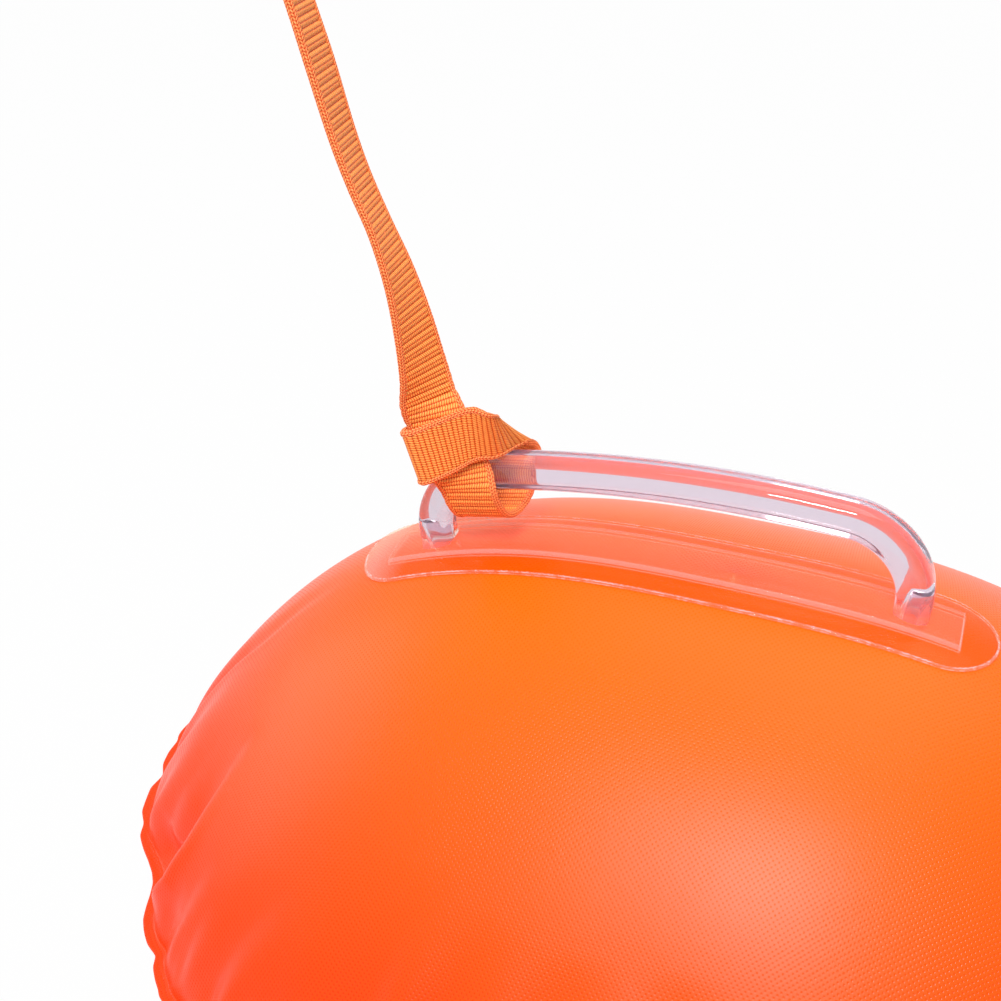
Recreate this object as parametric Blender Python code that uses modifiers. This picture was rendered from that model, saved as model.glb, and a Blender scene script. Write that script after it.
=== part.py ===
"""Open water swim buoy: two welded skins, a chamber wall, a moulded handle, two mouth valves and a leash."""

import math

import bpy
import numpy as np
from mathutils import Matrix, Vector

# Units
MM = 0.001

# Body: the skin is full in the middle and stands upright at the seam
BODY_LENGTH = 430 * MM
BODY_WIDTH = 326 * MM
BODY_HEIGHT = 256 * MM
LENGTH_POWER = 2.8
WIDTH_POWER = 1.8
CROWN_POWER = 0.85
SIDE_POWER = 0.57
REST_FLAT_DEPTH = 4 * MM
SKIN_THICKNESS = 0.6 * MM
WALL_THICKNESS = 0.4 * MM
LAYER_GAP = 0.3 * MM
WELD_WIDTH = 5.5 * MM
PUCKER_COUNT = 24
PUCKER_DEPTH = 3 * MM
PUCKER_START_SHARE = 0.42
SEGMENTS_PER_PUCKER = 4
CROWN_LEVEL_SHARES = (0.1, 0.45, 1)
SIDE_LEVEL_SHARES = (0.085, 0.16, 0.27, 0.41, 0.57, 0.73, 0.87, 0.96)
SEAM_ROOT_WIDTH = 1.2 * MM
OUTLINE_STEPS = 40
WALL_RING_SHARES = (0.3, 0.65)

# Handle: one clear moulding, an oval base with a raised strip, two legs and a grip
HANDLE_OFFSET = -24 * MM
HANDLE_SPAN = 172 * MM
BASE_LENGTH = 216 * MM
BASE_WIDTH = 37 * MM
BASE_THICKNESS = 1 * MM
STRIP_LENGTH = 192 * MM
STRIP_WIDTH = 18 * MM
STRIP_HEIGHT = 1.5 * MM
GRIP_HEIGHT = 29.5 * MM
GRIP_TALL = 11.5 * MM
GRIP_DEEP = 12 * MM
GRIP_CORNER = 3 * MM
GRIP_BEND = 23 * MM
GRIP_LEAN = 3 * MM
FOOT_DEEP = 15 * MM
FOOT_HEIGHT = 4.5 * MM
CORE_RADIUS = 3.4 * MM
CORE_DEPTH = 12 * MM
BASE_TIP_WIDTH = 2 * MM
BASE_LIFT = 6 * MM
BASE_LIFT_LENGTH = 38 * MM
BASE_STATIONS = 36
BASE_STATIONS_ACROSS = 6
GRIP_STATIONS = 16
BEND_STATIONS = 7
CORNER_STEPS = 2

# Mouth valves
VALVE_OFFSET_SHARE = 0.7
VALVE_FLANGE_RADIUS = 16 * MM
VALVE_FLANGE_THICKNESS = 1 * MM
STEM_RADIUS = 6.1 * MM
STEM_BORE = 4 * MM
STEM_TRAVEL = 9 * MM
COLLAR_WALL = 2.1 * MM
COLLAR_RISE = 3 * MM
COLLAR_DROP = 10 * MM
STOP_RING_THICKNESS = 1.2 * MM
LIP_RADIUS = 7.5 * MM
LIP_THICKNESS = 1.5 * MM
FLAP_THICKNESS = 0.8 * MM
FLAP_RADIUS = 5.6 * MM
SHANK_LENGTH = 11 * MM
PLUG_HEAD_RADIUS = 6.5 * MM
PLUG_HEAD_THICKNESS = 2.2 * MM
PLUG_RIM_SHARE = 0.25
TETHER_THICKNESS = 1 * MM
TETHER_WIDTH = 3.5 * MM
TETHER_REACH = 11.5 * MM
PIECE_GAP = 0.3 * MM
LATHE_STEPS = 24
MERGE_DISTANCE = 0.01 * MM
DRAPE_RINGS = 3
DRAPE_HALVINGS = 40

# Leash webbing and its slip noose round the grip
WEBBING_WIDTH = 20 * MM
WEBBING_THICKNESS = 1.4 * MM
NOOSE_INSET = 1 * MM
HINGE_GAP = 1 * MM
RIBBON_STEPS = 2
RIBBON_COLUMNS = 5
NOOSE_STEPS = 3

# Stations of the noose from the hinge down: shares of the webbing width along the grip, beyond its
# side (-1 front, 1 back) and beyond its top or underside (1, -1), then the direction across the webbing
NOOSE_STATIONS = (
    (-0.430, -1, -0.300, 1, 1.312, 0.63, 0.78, 0.00),
    (-0.321, -1, -0.353, 1, 0.913, 0.92, 0.39, 0.00),
    (-0.280, -1, -0.299, 1, 0.463, 0.86, 0.51, 0.00),
    (-0.195, -1, -0.252, 1, 0.019, 0.88, 0.48, 0.00),
    (-0.142, -1, -0.245, 0, -0.100, 1.00, 0.05, 0.00),
    (-0.140, -1, -0.150, -1, -0.163, 1.00, 0.00, 0.00),
    (-0.110, -1, 0.020, -1, -0.420, 1.00, 0.00, 0.00),
    (-0.050, 0, 0.000, -1, -0.515, 1.00, 0.00, 0.00),
    (0.050, 1, -0.015, -1, -0.430, 1.00, 0.00, 0.00),
    (0.180, 1, 0.170, -1, -0.138, 1.00, 0.00, 0.00),
    (0.270, 1, 0.227, 0, -0.100, 0.99, 0.05, -0.12),
    (0.352, 1, 0.211, 1, -0.036, 0.84, 0.21, -0.50),
    (0.442, 1, 0.040, 1, 0.218, 0.60, 0.42, -0.68),
    (0.553, 1, -0.202, 1, 0.391, 0.28, 0.53, -0.80),
    (0.541, -1, 0.238, 1, 0.463, 0.03, 0.51, -0.86),
    (0.433, -1, -0.094, 1, 0.551, -0.15, 0.25, -0.95),
    (0.182, -1, -0.225, 1, 0.643, -0.12, 0.05, -1.00),
    (-0.223, -1, -0.405, 1, 0.543, 0.02, 0.00, -1.00),
    (-0.628, -1, -0.625, 1, 0.453, 0.08, 0.00, -1.00),
    (-0.813, -1, -0.590, 1, 0.423, 0.10, 0.00, -1.00),
    (-0.752, -1, -0.411, 1, 0.435, 0.10, 0.00, -1.00),
    (-0.311, -1, -0.208, 1, 0.517, 0.05, 0.00, -1.00),
    (-0.038, -1, -0.010, 1, 0.593, 0.00, 0.00, -1.00),
)

# Route of the free leash from the centre of the grip at the noose: shares of the webbing width along
# world X and world Z, then its twist in degrees
LEASH_ROUTE = (
    (-0.860, 2.160, 73),
    (-1.025, 2.955, 84),
    (-1.245, 3.715, 95),
    (-1.535, 4.440, 102),
    (-1.835, 5.140, 101),
    (-2.060, 5.830, 100),
    (-2.340, 6.830, 99),
    (-2.540, 7.470, 101),
    (-2.780, 8.240, 101),
    (-2.930, 8.720, 101),
)
LOOP_LENGTH = 46 * MM
LOOP_OPENING = 11 * MM
LOOP_LAP = 22 * MM
LOOP_LEVEL_SHARES = (0.2, 0.6, 0.9)
LOOP_TAPER_SHARE = 0.7
STITCH_RADIUS = 0.3 * MM
STITCH_TURNS = 7
STITCH_GAP = 0.1 * MM
STITCH_WIDTH_SHARE = 0.7
STITCH_START_SHARE = 0.85
STITCH_LENGTH_SHARE = 0.7

# Sizes worked out from those above
HALF_LENGTH = BODY_LENGTH / 2
HALF_WIDTH = BODY_WIDTH / 2
HALF_HEIGHT = BODY_HEIGHT / 2
REST_DEPTH = HALF_HEIGHT - REST_FLAT_DEPTH
SEAM_HEIGHT = REST_DEPTH
VALVE_OFFSET = HALF_LENGTH * VALVE_OFFSET_SHARE
UPRIGHT = math.pi / 2
FLAT_SHARE = 1 - (REST_DEPTH / HALF_HEIGHT) ** (1 / CROWN_POWER)
WELD_FACE = WALL_THICKNESS / 2 + LAYER_GAP + SKIN_THICKNESS
SEGMENTS = PUCKER_COUNT * SEGMENTS_PER_PUCKER
COLLAR_BORE = STEM_RADIUS + PIECE_GAP
COLLAR_RADIUS = COLLAR_BORE + COLLAR_WALL
PANEL_HOLE = COLLAR_RADIUS + PIECE_GAP
LIP_BOTTOM = COLLAR_RISE + PIECE_GAP
LIP_TOP = LIP_BOTTOM + LIP_THICKNESS
STEM_BOTTOM = -(COLLAR_DROP + STEM_TRAVEL + PIECE_GAP + STOP_RING_THICKNESS)
TETHER_BOTTOM = LIP_TOP + PIECE_GAP
HEAD_BOTTOM = TETHER_BOTTOM + TETHER_THICKNESS + PIECE_GAP
SHANK_RADIUS = STEM_BORE - PIECE_GAP

ORANGE = (0.90, 0.17, 0.02, 1)
ORANGE_INSIDE = (0.80, 0.14, 0.02, 1)
CLEAR = (0.78, 0.76, 0.82, 1)
CLEAR_SOFT = (0.80, 0.82, 0.84, 1)
WEBBING = (0.85, 0.20, 0.03, 1)
THREAD = (0.88, 0.24, 0.05, 1)


def clear_scene():
    """Remove every object of the startup scene."""
    for old in list(bpy.data.objects):
        bpy.data.objects.remove(old, do_unlink=True)


def new_collection(name, helper=False):
    """Add a collection to the scene, left out of renders when it holds helpers."""
    made = bpy.data.collections.new(name)
    made.hide_render = helper
    bpy.context.scene.collection.children.link(made)
    return made


def finish(obj, colour, roughness):
    """Give an object a material of its own."""
    material = bpy.data.materials.new(obj.name)
    material.use_nodes = True
    shader = material.node_tree.nodes["Principled BSDF"]
    shader.inputs["Base Color"].default_value = colour
    shader.inputs["Roughness"].default_value = roughness
    shader.inputs["Metallic"].default_value = 0
    material.diffuse_color = colour
    obj.data.materials.clear()
    obj.data.materials.append(material)
    return obj


def mesh_object(name, points, faces, collection):
    """Make an object from points and faces, its normals facing out."""
    mesh = bpy.data.meshes.new(name)
    mesh.from_pydata([tuple(map(float, p)) for p in points], [], faces)
    mesh.validate()
    mesh.update()
    obj = bpy.data.objects.new(name, mesh)
    collection.objects.link(obj)
    return obj


def grid_faces(rows, columns, ring):
    """Quads of a grid of points, its last column joined to the first when it is a ring."""
    faces = []
    for row in range(rows - 1):
        for column in range(columns if ring else columns - 1):
            after = (column + 1) % columns
            low, high = row * columns, (row + 1) * columns
            faces.append((low + column, low + after, high + after, high + column))
    return faces


def apply_modifiers(obj):
    """Turn an object with its modifiers into a plain mesh object."""
    graph = bpy.context.evaluated_depsgraph_get()
    bpy.context.view_layer.update()
    mesh = bpy.data.meshes.new_from_object(obj.evaluated_get(graph))
    plain = bpy.data.objects.new(obj.name + "_plain", mesh)
    plain.matrix_world = obj.matrix_world.copy()
    home = obj.users_collection[0]
    name = obj.name
    home.objects.link(plain)
    bpy.data.objects.remove(obj, do_unlink=True)
    plain.name = name
    return plain


def thicken(obj, thickness, offset, even=True):
    """Make a solid of an open surface; offset 1 grows it along its normals and -1 against them."""
    modifier = obj.modifiers.new("thickness", "SOLIDIFY")
    modifier.thickness = thickness
    modifier.offset = offset
    modifier.use_even_offset = even
    return apply_modifiers(obj)


def combine(obj, others, operation):
    """Join the other objects to this one or cut them from it, and remove them."""
    for other in others:
        modifier = obj.modifiers.new("combine", "BOOLEAN")
        modifier.operation = operation
        modifier.solver = "EXACT"
        modifier.object = other
    obj = apply_modifiers(obj)
    for other in others:
        bpy.data.objects.remove(other, do_unlink=True)
    return obj


def lathe(name, profile, collection, place, closed):
    """Turn a profile of (radius, height) points round the local Z axis."""
    count = len(profile)
    edges = [(i, i + 1) for i in range(count - 1)]
    if closed:
        edges.append((count - 1, 0))
    mesh = bpy.data.meshes.new(name)
    mesh.from_pydata([(radius, 0, height) for radius, height in profile], edges, [])
    obj = bpy.data.objects.new(name, mesh)
    obj.matrix_world = place
    collection.objects.link(obj)
    turn = obj.modifiers.new("turn", "SCREW")
    turn.steps = LATHE_STEPS
    turn.render_steps = LATHE_STEPS
    turn.use_merge_vertices = True
    turn.merge_threshold = MERGE_DISTANCE
    turn.use_normal_calculate = True
    obj = apply_modifiers(obj)
    return face_outward(obj)


def face_outward(obj):
    """Turn the faces of a closed mesh so that they all face out."""
    mesh = obj.data
    mesh.calc_loop_triangles()
    points = np.array([v.co[:] for v in mesh.vertices])
    corners = points[np.array([t.vertices[:] for t in mesh.loop_triangles])]
    if np.linalg.det(corners).sum() < 0:
        mesh.flip_normals()
    return obj


# The skin


def skin_height(x, y):
    """Height of the skin over the seam plane, fuller along the sides than at the ends."""
    aside = abs(y / HALF_WIDTH) ** WIDTH_POWER
    share = min(abs(x / HALF_LENGTH) ** LENGTH_POWER + aside, 1)
    power = CROWN_POWER + (SIDE_POWER - CROWN_POWER) * aside * share
    return HALF_HEIGHT * (1 - share) ** power


def outline():
    """Points of the seam at equal steps along it, as (x, y)."""
    turns = np.linspace(0, 2 * math.pi, OUTLINE_STEPS * SEGMENTS + 1)
    x = HALF_LENGTH * np.sign(np.cos(turns)) * abs(np.cos(turns)) ** (2 / LENGTH_POWER)
    y = HALF_WIDTH * np.sign(np.sin(turns)) * abs(np.sin(turns)) ** (2 / WIDTH_POWER)
    run = np.concatenate([[0], np.cumsum(np.hypot(np.diff(x), np.diff(y)))])
    steps = np.linspace(0, run[-1], SEGMENTS, endpoint=False)
    return np.interp(steps, run, x), np.interp(steps, run, y)


def puckered(x, y, share):
    """Pull a ring of points in towards the middle where the seam gathers the skin."""
    phase = 2 * math.pi * np.arange(SEGMENTS) / SEGMENTS_PER_PUCKER
    depth = PUCKER_DEPTH * (0.5 - 0.5 * np.cos(phase))
    gather = max(0, (share - PUCKER_START_SHARE) / (1 - PUCKER_START_SHARE))
    keep = 1 - depth * gather / np.hypot(x, y)
    return x * keep, y * keep


def panel_rings(flat):
    """Rings of the skin from the crown out to the edge of the weld; flat keeps it above the rest plane."""
    seam_x, seam_y = outline()
    rings = []
    for share in [FLAT_SHARE * part for part in CROWN_LEVEL_SHARES] + list(SIDE_LEVEL_SHARES):
        x = seam_x * share ** (1 / LENGTH_POWER)
        y = seam_y * share ** (1 / WIDTH_POWER)
        height = np.array([skin_height(*point) for point in zip(x, y)])
        x, y = puckered(x, y, share)
        if flat:
            height = np.minimum(height, REST_DEPTH)
        rings.append(np.stack([x, y, height], 1))
    for width in (SEAM_ROOT_WIDTH, WELD_WIDTH):
        x, y = weld_ring(seam_x, seam_y, width)
        rings.append(np.stack([x, y, np.full_like(x, WELD_FACE)], 1))
    return rings


def weld_ring(seam_x, seam_y, width):
    """The seam line moved out by a width, gathered like the skin."""
    x, y = puckered(seam_x, seam_y, 1)
    reach = np.hypot(x, y)
    return x * (1 + width / reach), y * (1 + width / reach)


def dome_mesh(name, rings, middle, collection):
    """A disc of rings closed by a fan round a middle point."""
    points = [middle] + [p for ring in rings for p in ring]
    faces = [(0, 1 + i, 1 + (i + 1) % SEGMENTS) for i in range(SEGMENTS)]
    for quad in grid_faces(len(rings), SEGMENTS, True):
        low_a, low_b, high_b, high_a = (index + 1 for index in quad)
        faces.append((low_a, high_a, high_b, low_b))
    return mesh_object(name, points, faces, collection)


def panel(name, side, parts, cutters):
    """One skin with its weld flange and the hole of its valve."""
    rings = panel_rings(flat=side < 0)
    middle = np.array([0, 0, REST_DEPTH if side < 0 else HALF_HEIGHT])
    flip = np.array([1, 1, side])
    obj = dome_mesh(name, [ring * flip for ring in rings], middle * flip, parts)
    if side < 0:
        obj.data.flip_normals()
    obj.location.z = SEAM_HEIGHT
    bpy.context.view_layer.update()
    obj = thicken(obj, SKIN_THICKNESS, -1)
    place = valve_place(side)
    reach = VALVE_FLANGE_RADIUS
    profile = [(0, reach), (PANEL_HOLE, reach), (PANEL_HOLE, -reach), (0, -reach)]
    cutter = lathe(name + "_hole", profile, cutters, place, closed=False)
    return finish(combine(obj, [cutter], "DIFFERENCE"), ORANGE, 0.45)


def chamber_wall(parts):
    """The flat sheet welded in the seam that parts the two air chambers."""
    seam_x, seam_y = outline()
    rings = []
    for share in WALL_RING_SHARES:
        rings.append(np.stack([seam_x * share, seam_y * share, 0 * seam_x], 1))
    x, y = weld_ring(seam_x, seam_y, WELD_WIDTH)
    rings.append(np.stack([x, y, 0 * x], 1))
    obj = dome_mesh("chamber_wall", rings, np.zeros(3), parts)
    obj.location.z = SEAM_HEIGHT
    bpy.context.view_layer.update()
    return finish(thicken(obj, WALL_THICKNESS, 0), ORANGE_INSIDE, 0.5)


# The handle


def handle_arc():
    """Centre and radius, in the XZ plane, of the arc that the base of the handle follows."""
    half = (HANDLE_SPAN - GRIP_TALL) / 2
    xs = [HANDLE_OFFSET - half, HANDLE_OFFSET, HANDLE_OFFSET + half]
    zs = [skin_height(x, 0) for x in xs]
    rows = np.array([[2 * x, 2 * z, 1] for x, z in zip(xs, zs)])
    sums = np.array([x * x + z * z for x, z in zip(xs, zs)])
    centre_x, centre_z, rest = np.linalg.solve(rows, sums)
    radius = math.sqrt(rest + centre_x**2 + centre_z**2)
    middle = math.atan2(HANDLE_OFFSET - centre_x, skin_height(HANDLE_OFFSET, 0) - centre_z)
    return centre_x, centre_z, radius, middle


ARC_X, ARC_Z, ARC_RADIUS, ARC_MIDDLE = handle_arc()


def on_arc(run, height):
    """World X and Z at a run along the base arc and a height over it."""
    turn = ARC_MIDDLE + run / ARC_RADIUS
    reach = ARC_RADIUS + height
    return ARC_X + reach * math.sin(turn), SEAM_HEIGHT + ARC_Z + reach * math.cos(turn)


def tip_lift(run, across):
    """How far the left end of the base stands off the skin, most at its back edge."""
    share = max(0, 1 - (BASE_LENGTH / 2 + run) / BASE_LIFT_LENGTH)
    return BASE_LIFT * share**2 * (1 / 2 + across / BASE_WIDTH)


def base_sheet(name, length, width, rise, thickness, rounded, collection):
    """A sheet that lies over the skin, with half-round ends or square ones."""
    ends = width / 2 if rounded else 0
    turns = np.linspace(0, math.pi, BASE_STATIONS + 1)
    points = []
    for run in -np.cos(turns) * length / 2:
        past = max(0, abs(run) - (length / 2 - ends))
        half = math.sqrt(max(0, (width / 2) ** 2 - past**2)) if rounded else width / 2
        half = max(half, BASE_TIP_WIDTH / 2)
        for across in np.linspace(-1, 1, BASE_STATIONS_ACROSS + 1):
            x, y = HANDLE_OFFSET + run, across * half
            level = SEAM_HEIGHT + skin_height(x, y) + tip_lift(run, y)
            points.append((x, y, level + rise))
    faces = grid_faces(BASE_STATIONS + 1, BASE_STATIONS_ACROSS + 1, False)
    faces = [tuple(reversed(face)) for face in faces]
    obj = mesh_object(name, points, faces, collection)
    return face_outward(thicken(obj, thickness, 1))


def grip_section(deep):
    """Rounded section of the grip as (across, up) points round it."""
    points = []
    half_deep, half_tall = deep / 2 - GRIP_CORNER, GRIP_TALL / 2 - GRIP_CORNER
    corners = ((1, 1), (-1, 1), (-1, -1), (1, -1))
    for quarter, (sign_y, sign_h) in enumerate(corners):
        for step in range(CORNER_STEPS + 1):
            turn = UPRIGHT * (quarter + step / CORNER_STEPS)
            across = sign_y * half_deep + GRIP_CORNER * math.cos(turn)
            up = sign_h * half_tall + GRIP_CORNER * math.sin(turn)
            points.append((across, up))
    return points


def grip_path():
    """Stations of the grip from one foot to the other, as (run, height, lean, depth)."""
    foot = (HANDLE_SPAN - GRIP_TALL) / 2
    sunk = PIECE_GAP + BASE_THICKNESS / 2
    top = GRIP_HEIGHT - GRIP_BEND
    side = [(-foot, sunk, UPRIGHT, FOOT_DEEP), (-foot, FOOT_HEIGHT, UPRIGHT, GRIP_DEEP)]
    for step in range(BEND_STATIONS + 1):
        turn = UPRIGHT * step / BEND_STATIONS
        run = -foot + GRIP_BEND * (1 - math.cos(turn))
        height = top + GRIP_BEND * math.sin(turn)
        side.append((run, height, UPRIGHT - turn, GRIP_DEEP))
    flat = foot - GRIP_BEND
    runs = np.linspace(-flat, flat, GRIP_STATIONS + 1)[1:-1]
    middle = [(run, GRIP_HEIGHT, 0, GRIP_DEEP) for run in runs]
    other = [(-run, height, -lean, deep) for run, height, lean, deep in reversed(side)]
    stations = []
    for run, height, lean, deep in side + middle + other:
        inward = GRIP_LEAN * height / GRIP_HEIGHT * run / foot
        stations.append((run - inward, height, lean, deep))
    return stations


def grip_bar(collection):
    """The legs and the grip as one bent bar."""
    points = []
    stations = grip_path()
    for run, height, lean, deep in stations:
        for across, up in grip_section(deep):
            x, z = on_arc(run - up * math.sin(lean), height + up * math.cos(lean))
            points.append((x, across, z))
    size = len(grip_section(GRIP_DEEP))
    faces = grid_faces(len(stations), size, True)
    faces.append(tuple(range(size - 1, -1, -1)))
    faces.append(tuple(range(len(points) - size, len(points))))
    return face_outward(mesh_object("grip_bar", points, faces, collection))


def core_hole(side, collection):
    """Cutter of the blind core hole that opens under a foot."""
    run = side * (HANDLE_SPAN - GRIP_TALL) / 2
    x, z = on_arc(run, 0)
    turn = ARC_MIDDLE + run / ARC_RADIUS
    place = Matrix.Translation((x, 0, z)) @ Matrix.Rotation(turn, 4, "Y")
    deep = CORE_DEPTH
    profile = [(0, deep), (CORE_RADIUS, deep), (CORE_RADIUS, -deep), (0, -deep)]
    return lathe("core_hole", profile, collection, place, closed=False)


def carry_handle(parts, cutters):
    """The clear handle moulding, welded over the crown of the upper skin."""
    base = base_sheet(
        "carry_handle", BASE_LENGTH, BASE_WIDTH, PIECE_GAP, BASE_THICKNESS, True, parts
    )
    sunk = PIECE_GAP + BASE_THICKNESS / 2
    tall = STRIP_HEIGHT + BASE_THICKNESS / 2
    strip = base_sheet("strip", STRIP_LENGTH, STRIP_WIDTH, sunk, tall, False, cutters)
    obj = combine(base, [strip, grip_bar(cutters)], "UNION")
    holes = [core_hole(side, cutters) for side in (-1, 1)]
    return finish(combine(obj, holes, "DIFFERENCE"), CLEAR, 0.12)


# The mouth valves


def valve_place(side):
    """Frame of a valve: its origin on the skin and its Z axis along the skin's outward normal."""
    x = VALVE_OFFSET
    z = skin_height(x, 0)
    slope_x = LENGTH_POWER * (x / HALF_LENGTH) ** (LENGTH_POWER - 1) / HALF_LENGTH
    slope_z = (z / HALF_HEIGHT) ** (1 / CROWN_POWER - 1) / CROWN_POWER / HALF_HEIGHT
    normal = Vector((slope_x, 0, side * slope_z)).normalized()
    across = Vector((0, 1, 0))
    along = across.cross(normal)
    turn = Matrix((along, across, normal)).transposed().to_4x4()
    return Matrix.Translation((x, 0, SEAM_HEIGHT + side * z)) @ turn


def draped_height(place, a, b):
    """Height of the skin over a valve's tangent plane, found by halving."""
    low, high = -VALVE_FLANGE_RADIUS, VALVE_FLANGE_RADIUS
    for _ in range(DRAPE_HALVINGS):
        height = (low + high) / 2
        x, y, z = place @ Vector((a, b, height))
        inside = abs(z - SEAM_HEIGHT) < skin_height(x, y)
        low, high = (height, high) if inside else (low, height)
    return height


def valve_base(name, place, parts, cutters):
    """The welded flange of a valve with the collar that its stem slides in."""
    points = []
    inner = (COLLAR_BORE + COLLAR_RADIUS) / 2
    for radius in np.linspace(inner, VALVE_FLANGE_RADIUS, DRAPE_RINGS + 1):
        for step in range(LATHE_STEPS):
            turn = 2 * math.pi * step / LATHE_STEPS
            a, b = radius * math.cos(turn), radius * math.sin(turn)
            points.append((a, b, draped_height(place, a, b) + PIECE_GAP))
    faces = [tuple(reversed(f)) for f in grid_faces(DRAPE_RINGS + 1, LATHE_STEPS, True)]
    flange = mesh_object(name, points, faces, parts)
    flange.matrix_world = place
    bpy.context.view_layer.update()
    flange = face_outward(thicken(flange, VALVE_FLANGE_THICKNESS, 1))
    profile = [
        (COLLAR_RADIUS, COLLAR_RISE),
        (COLLAR_RADIUS, -COLLAR_DROP),
        (COLLAR_BORE, -COLLAR_DROP),
        (COLLAR_BORE, COLLAR_RISE),
    ]
    collar = lathe(name + "_collar", profile, cutters, place, closed=True)
    return finish(combine(flange, [collar], "UNION"), CLEAR_SOFT, 0.2)


def valve_stem(name, place, parts):
    """The mouth tube, with a lip to rest on the collar and a ring to stop it coming out."""
    ring_top = STEM_BOTTOM + STOP_RING_THICKNESS
    profile = [
        (LIP_RADIUS, LIP_TOP),
        (LIP_RADIUS, LIP_BOTTOM),
        (STEM_RADIUS, LIP_BOTTOM),
        (STEM_RADIUS, ring_top),
        (LIP_RADIUS, ring_top),
        (LIP_RADIUS, STEM_BOTTOM),
        (STEM_BORE, STEM_BOTTOM),
        (STEM_BORE, LIP_TOP),
    ]
    return finish(lathe(name, profile, parts, place, closed=True), CLEAR_SOFT, 0.2)


def valve_flap(name, place, parts):
    """The check flap under the stem, hinged at its edge."""
    top = STEM_BOTTOM - PIECE_GAP
    hinge = place @ Matrix.Translation((-FLAP_RADIUS, 0, top - FLAP_THICKNESS / 2))
    half = FLAP_THICKNESS / 2
    profile = [(0, half), (FLAP_RADIUS, half), (FLAP_RADIUS, -half), (0, -half)]
    obj = lathe(name, profile, parts, hinge, closed=False)
    obj.data.transform(Matrix.Translation((FLAP_RADIUS, 0, 0)))
    return finish(obj, CLEAR_SOFT, 0.25)


def valve_plug(name, place, parts):
    """The stopper pushed into the stem, with a round head to grip."""
    top = HEAD_BOTTOM + PLUG_HEAD_THICKNESS
    rim = PLUG_HEAD_THICKNESS * PLUG_RIM_SHARE
    profile = [
        (0, top),
        (PLUG_HEAD_RADIUS - rim, top),
        (PLUG_HEAD_RADIUS, top - rim),
        (PLUG_HEAD_RADIUS, HEAD_BOTTOM + rim),
        (PLUG_HEAD_RADIUS - rim, HEAD_BOTTOM),
        (SHANK_RADIUS, HEAD_BOTTOM),
        (SHANK_RADIUS, HEAD_BOTTOM - SHANK_LENGTH),
        (0, HEAD_BOTTOM - SHANK_LENGTH),
    ]
    return finish(lathe(name, profile, parts, place, closed=False), CLEAR_SOFT, 0.2)


def valve_tether(name, place, parts, cutters):
    """The ring round the stopper with the little strap that keeps it on the stem."""
    top = TETHER_BOTTOM + TETHER_THICKNESS
    outer = PLUG_HEAD_RADIUS + PIECE_GAP
    profile = [
        (outer, top),
        (outer, TETHER_BOTTOM),
        (STEM_BORE, TETHER_BOTTOM),
        (STEM_BORE, top),
    ]
    ring = lathe(name, profile, parts, place, closed=True)
    low = (LIP_BOTTOM + LIP_TOP) / 2
    inner_reach = TETHER_REACH - TETHER_THICKNESS
    sunk = (STEM_BORE + outer) / 2
    side = [
        (sunk, top),
        (TETHER_REACH, top),
        (TETHER_REACH, low),
        (LIP_RADIUS + PIECE_GAP, low),
        (LIP_RADIUS + PIECE_GAP, low + TETHER_THICKNESS / 2),
        (inner_reach, low + TETHER_THICKNESS / 2),
        (inner_reach, TETHER_BOTTOM),
        (sunk, TETHER_BOTTOM),
    ]
    count = len(side)
    half = TETHER_WIDTH / 2
    points = [(a, y, z) for y in (-half, half) for a, z in side]
    faces = [(i, (i + 1) % count, count + (i + 1) % count, count + i) for i in range(count)]
    faces += [tuple(range(count - 1, -1, -1)), tuple(range(count, 2 * count))]
    strap = mesh_object(name + "_strap", points, faces, cutters)
    strap.matrix_world = place
    bpy.context.view_layer.update()
    face_outward(strap)
    return finish(combine(ring, [strap], "UNION"), CLEAR_SOFT, 0.2)


def valve(prefix, side, parts, cutters):
    """All pieces of one mouth valve, its stem pressed in."""
    place = valve_place(side)
    valve_base(prefix + "_valve_base", place, parts, cutters)
    valve_stem(prefix + "_valve_stem", place, parts)
    valve_flap(prefix + "_valve_flap", place, parts)
    valve_plug(prefix + "_valve_plug", place, parts)
    valve_tether(prefix + "_valve_tether", place, parts, cutters)


# The leash


def noose_place():
    """Frame at the noose: X along the grip, Y across it and Z away from the buoy."""
    run = (HANDLE_SPAN - GRIP_TALL) / 2 - GRIP_BEND - NOOSE_INSET
    turn = ARC_MIDDLE - run / ARC_RADIUS
    reach = ARC_RADIUS + GRIP_HEIGHT
    x = ARC_X + reach * math.sin(turn)
    z = SEAM_HEIGHT + ARC_Z + reach * math.cos(turn)
    return Matrix.Translation((x, 0, z)) @ Matrix.Rotation(turn, 4, "Y")


def smooth_path(stations, steps):
    """Catmull-Rom points through rows of numbers."""
    rows = np.array(stations, float)
    padded = np.vstack([2 * rows[0] - rows[1], rows, 2 * rows[-1] - rows[-2]])
    path = []
    for index in range(1, len(padded) - 2):
        before, here, there, after = padded[index - 1 : index + 3]
        for step in range(steps):
            t = step / steps
            path.append(
                0.5
                * (
                    2 * here
                    + (there - before) * t
                    + (2 * before - 5 * here + 4 * there - after) * t**2
                    + (3 * here - before - 3 * there + after) * t**3
                )
            )
    path.append(rows[-1])
    return np.array(path)


def ribbon(name, path, collection):
    """Webbing along a path; each row holds a point and its direction across the webbing."""
    points = []
    for row in path:
        centre, across = row[:3], row[3:] / np.linalg.norm(row[3:])
        for part in np.linspace(-1, 1, RIBBON_COLUMNS):
            points.append(centre + across * part * WEBBING_WIDTH / 2)
    faces = grid_faces(len(path), RIBBON_COLUMNS, False)
    obj = mesh_object(name, points, faces, collection)
    return face_outward(thicken(obj, WEBBING_THICKNESS, 0, even=False))


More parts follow.
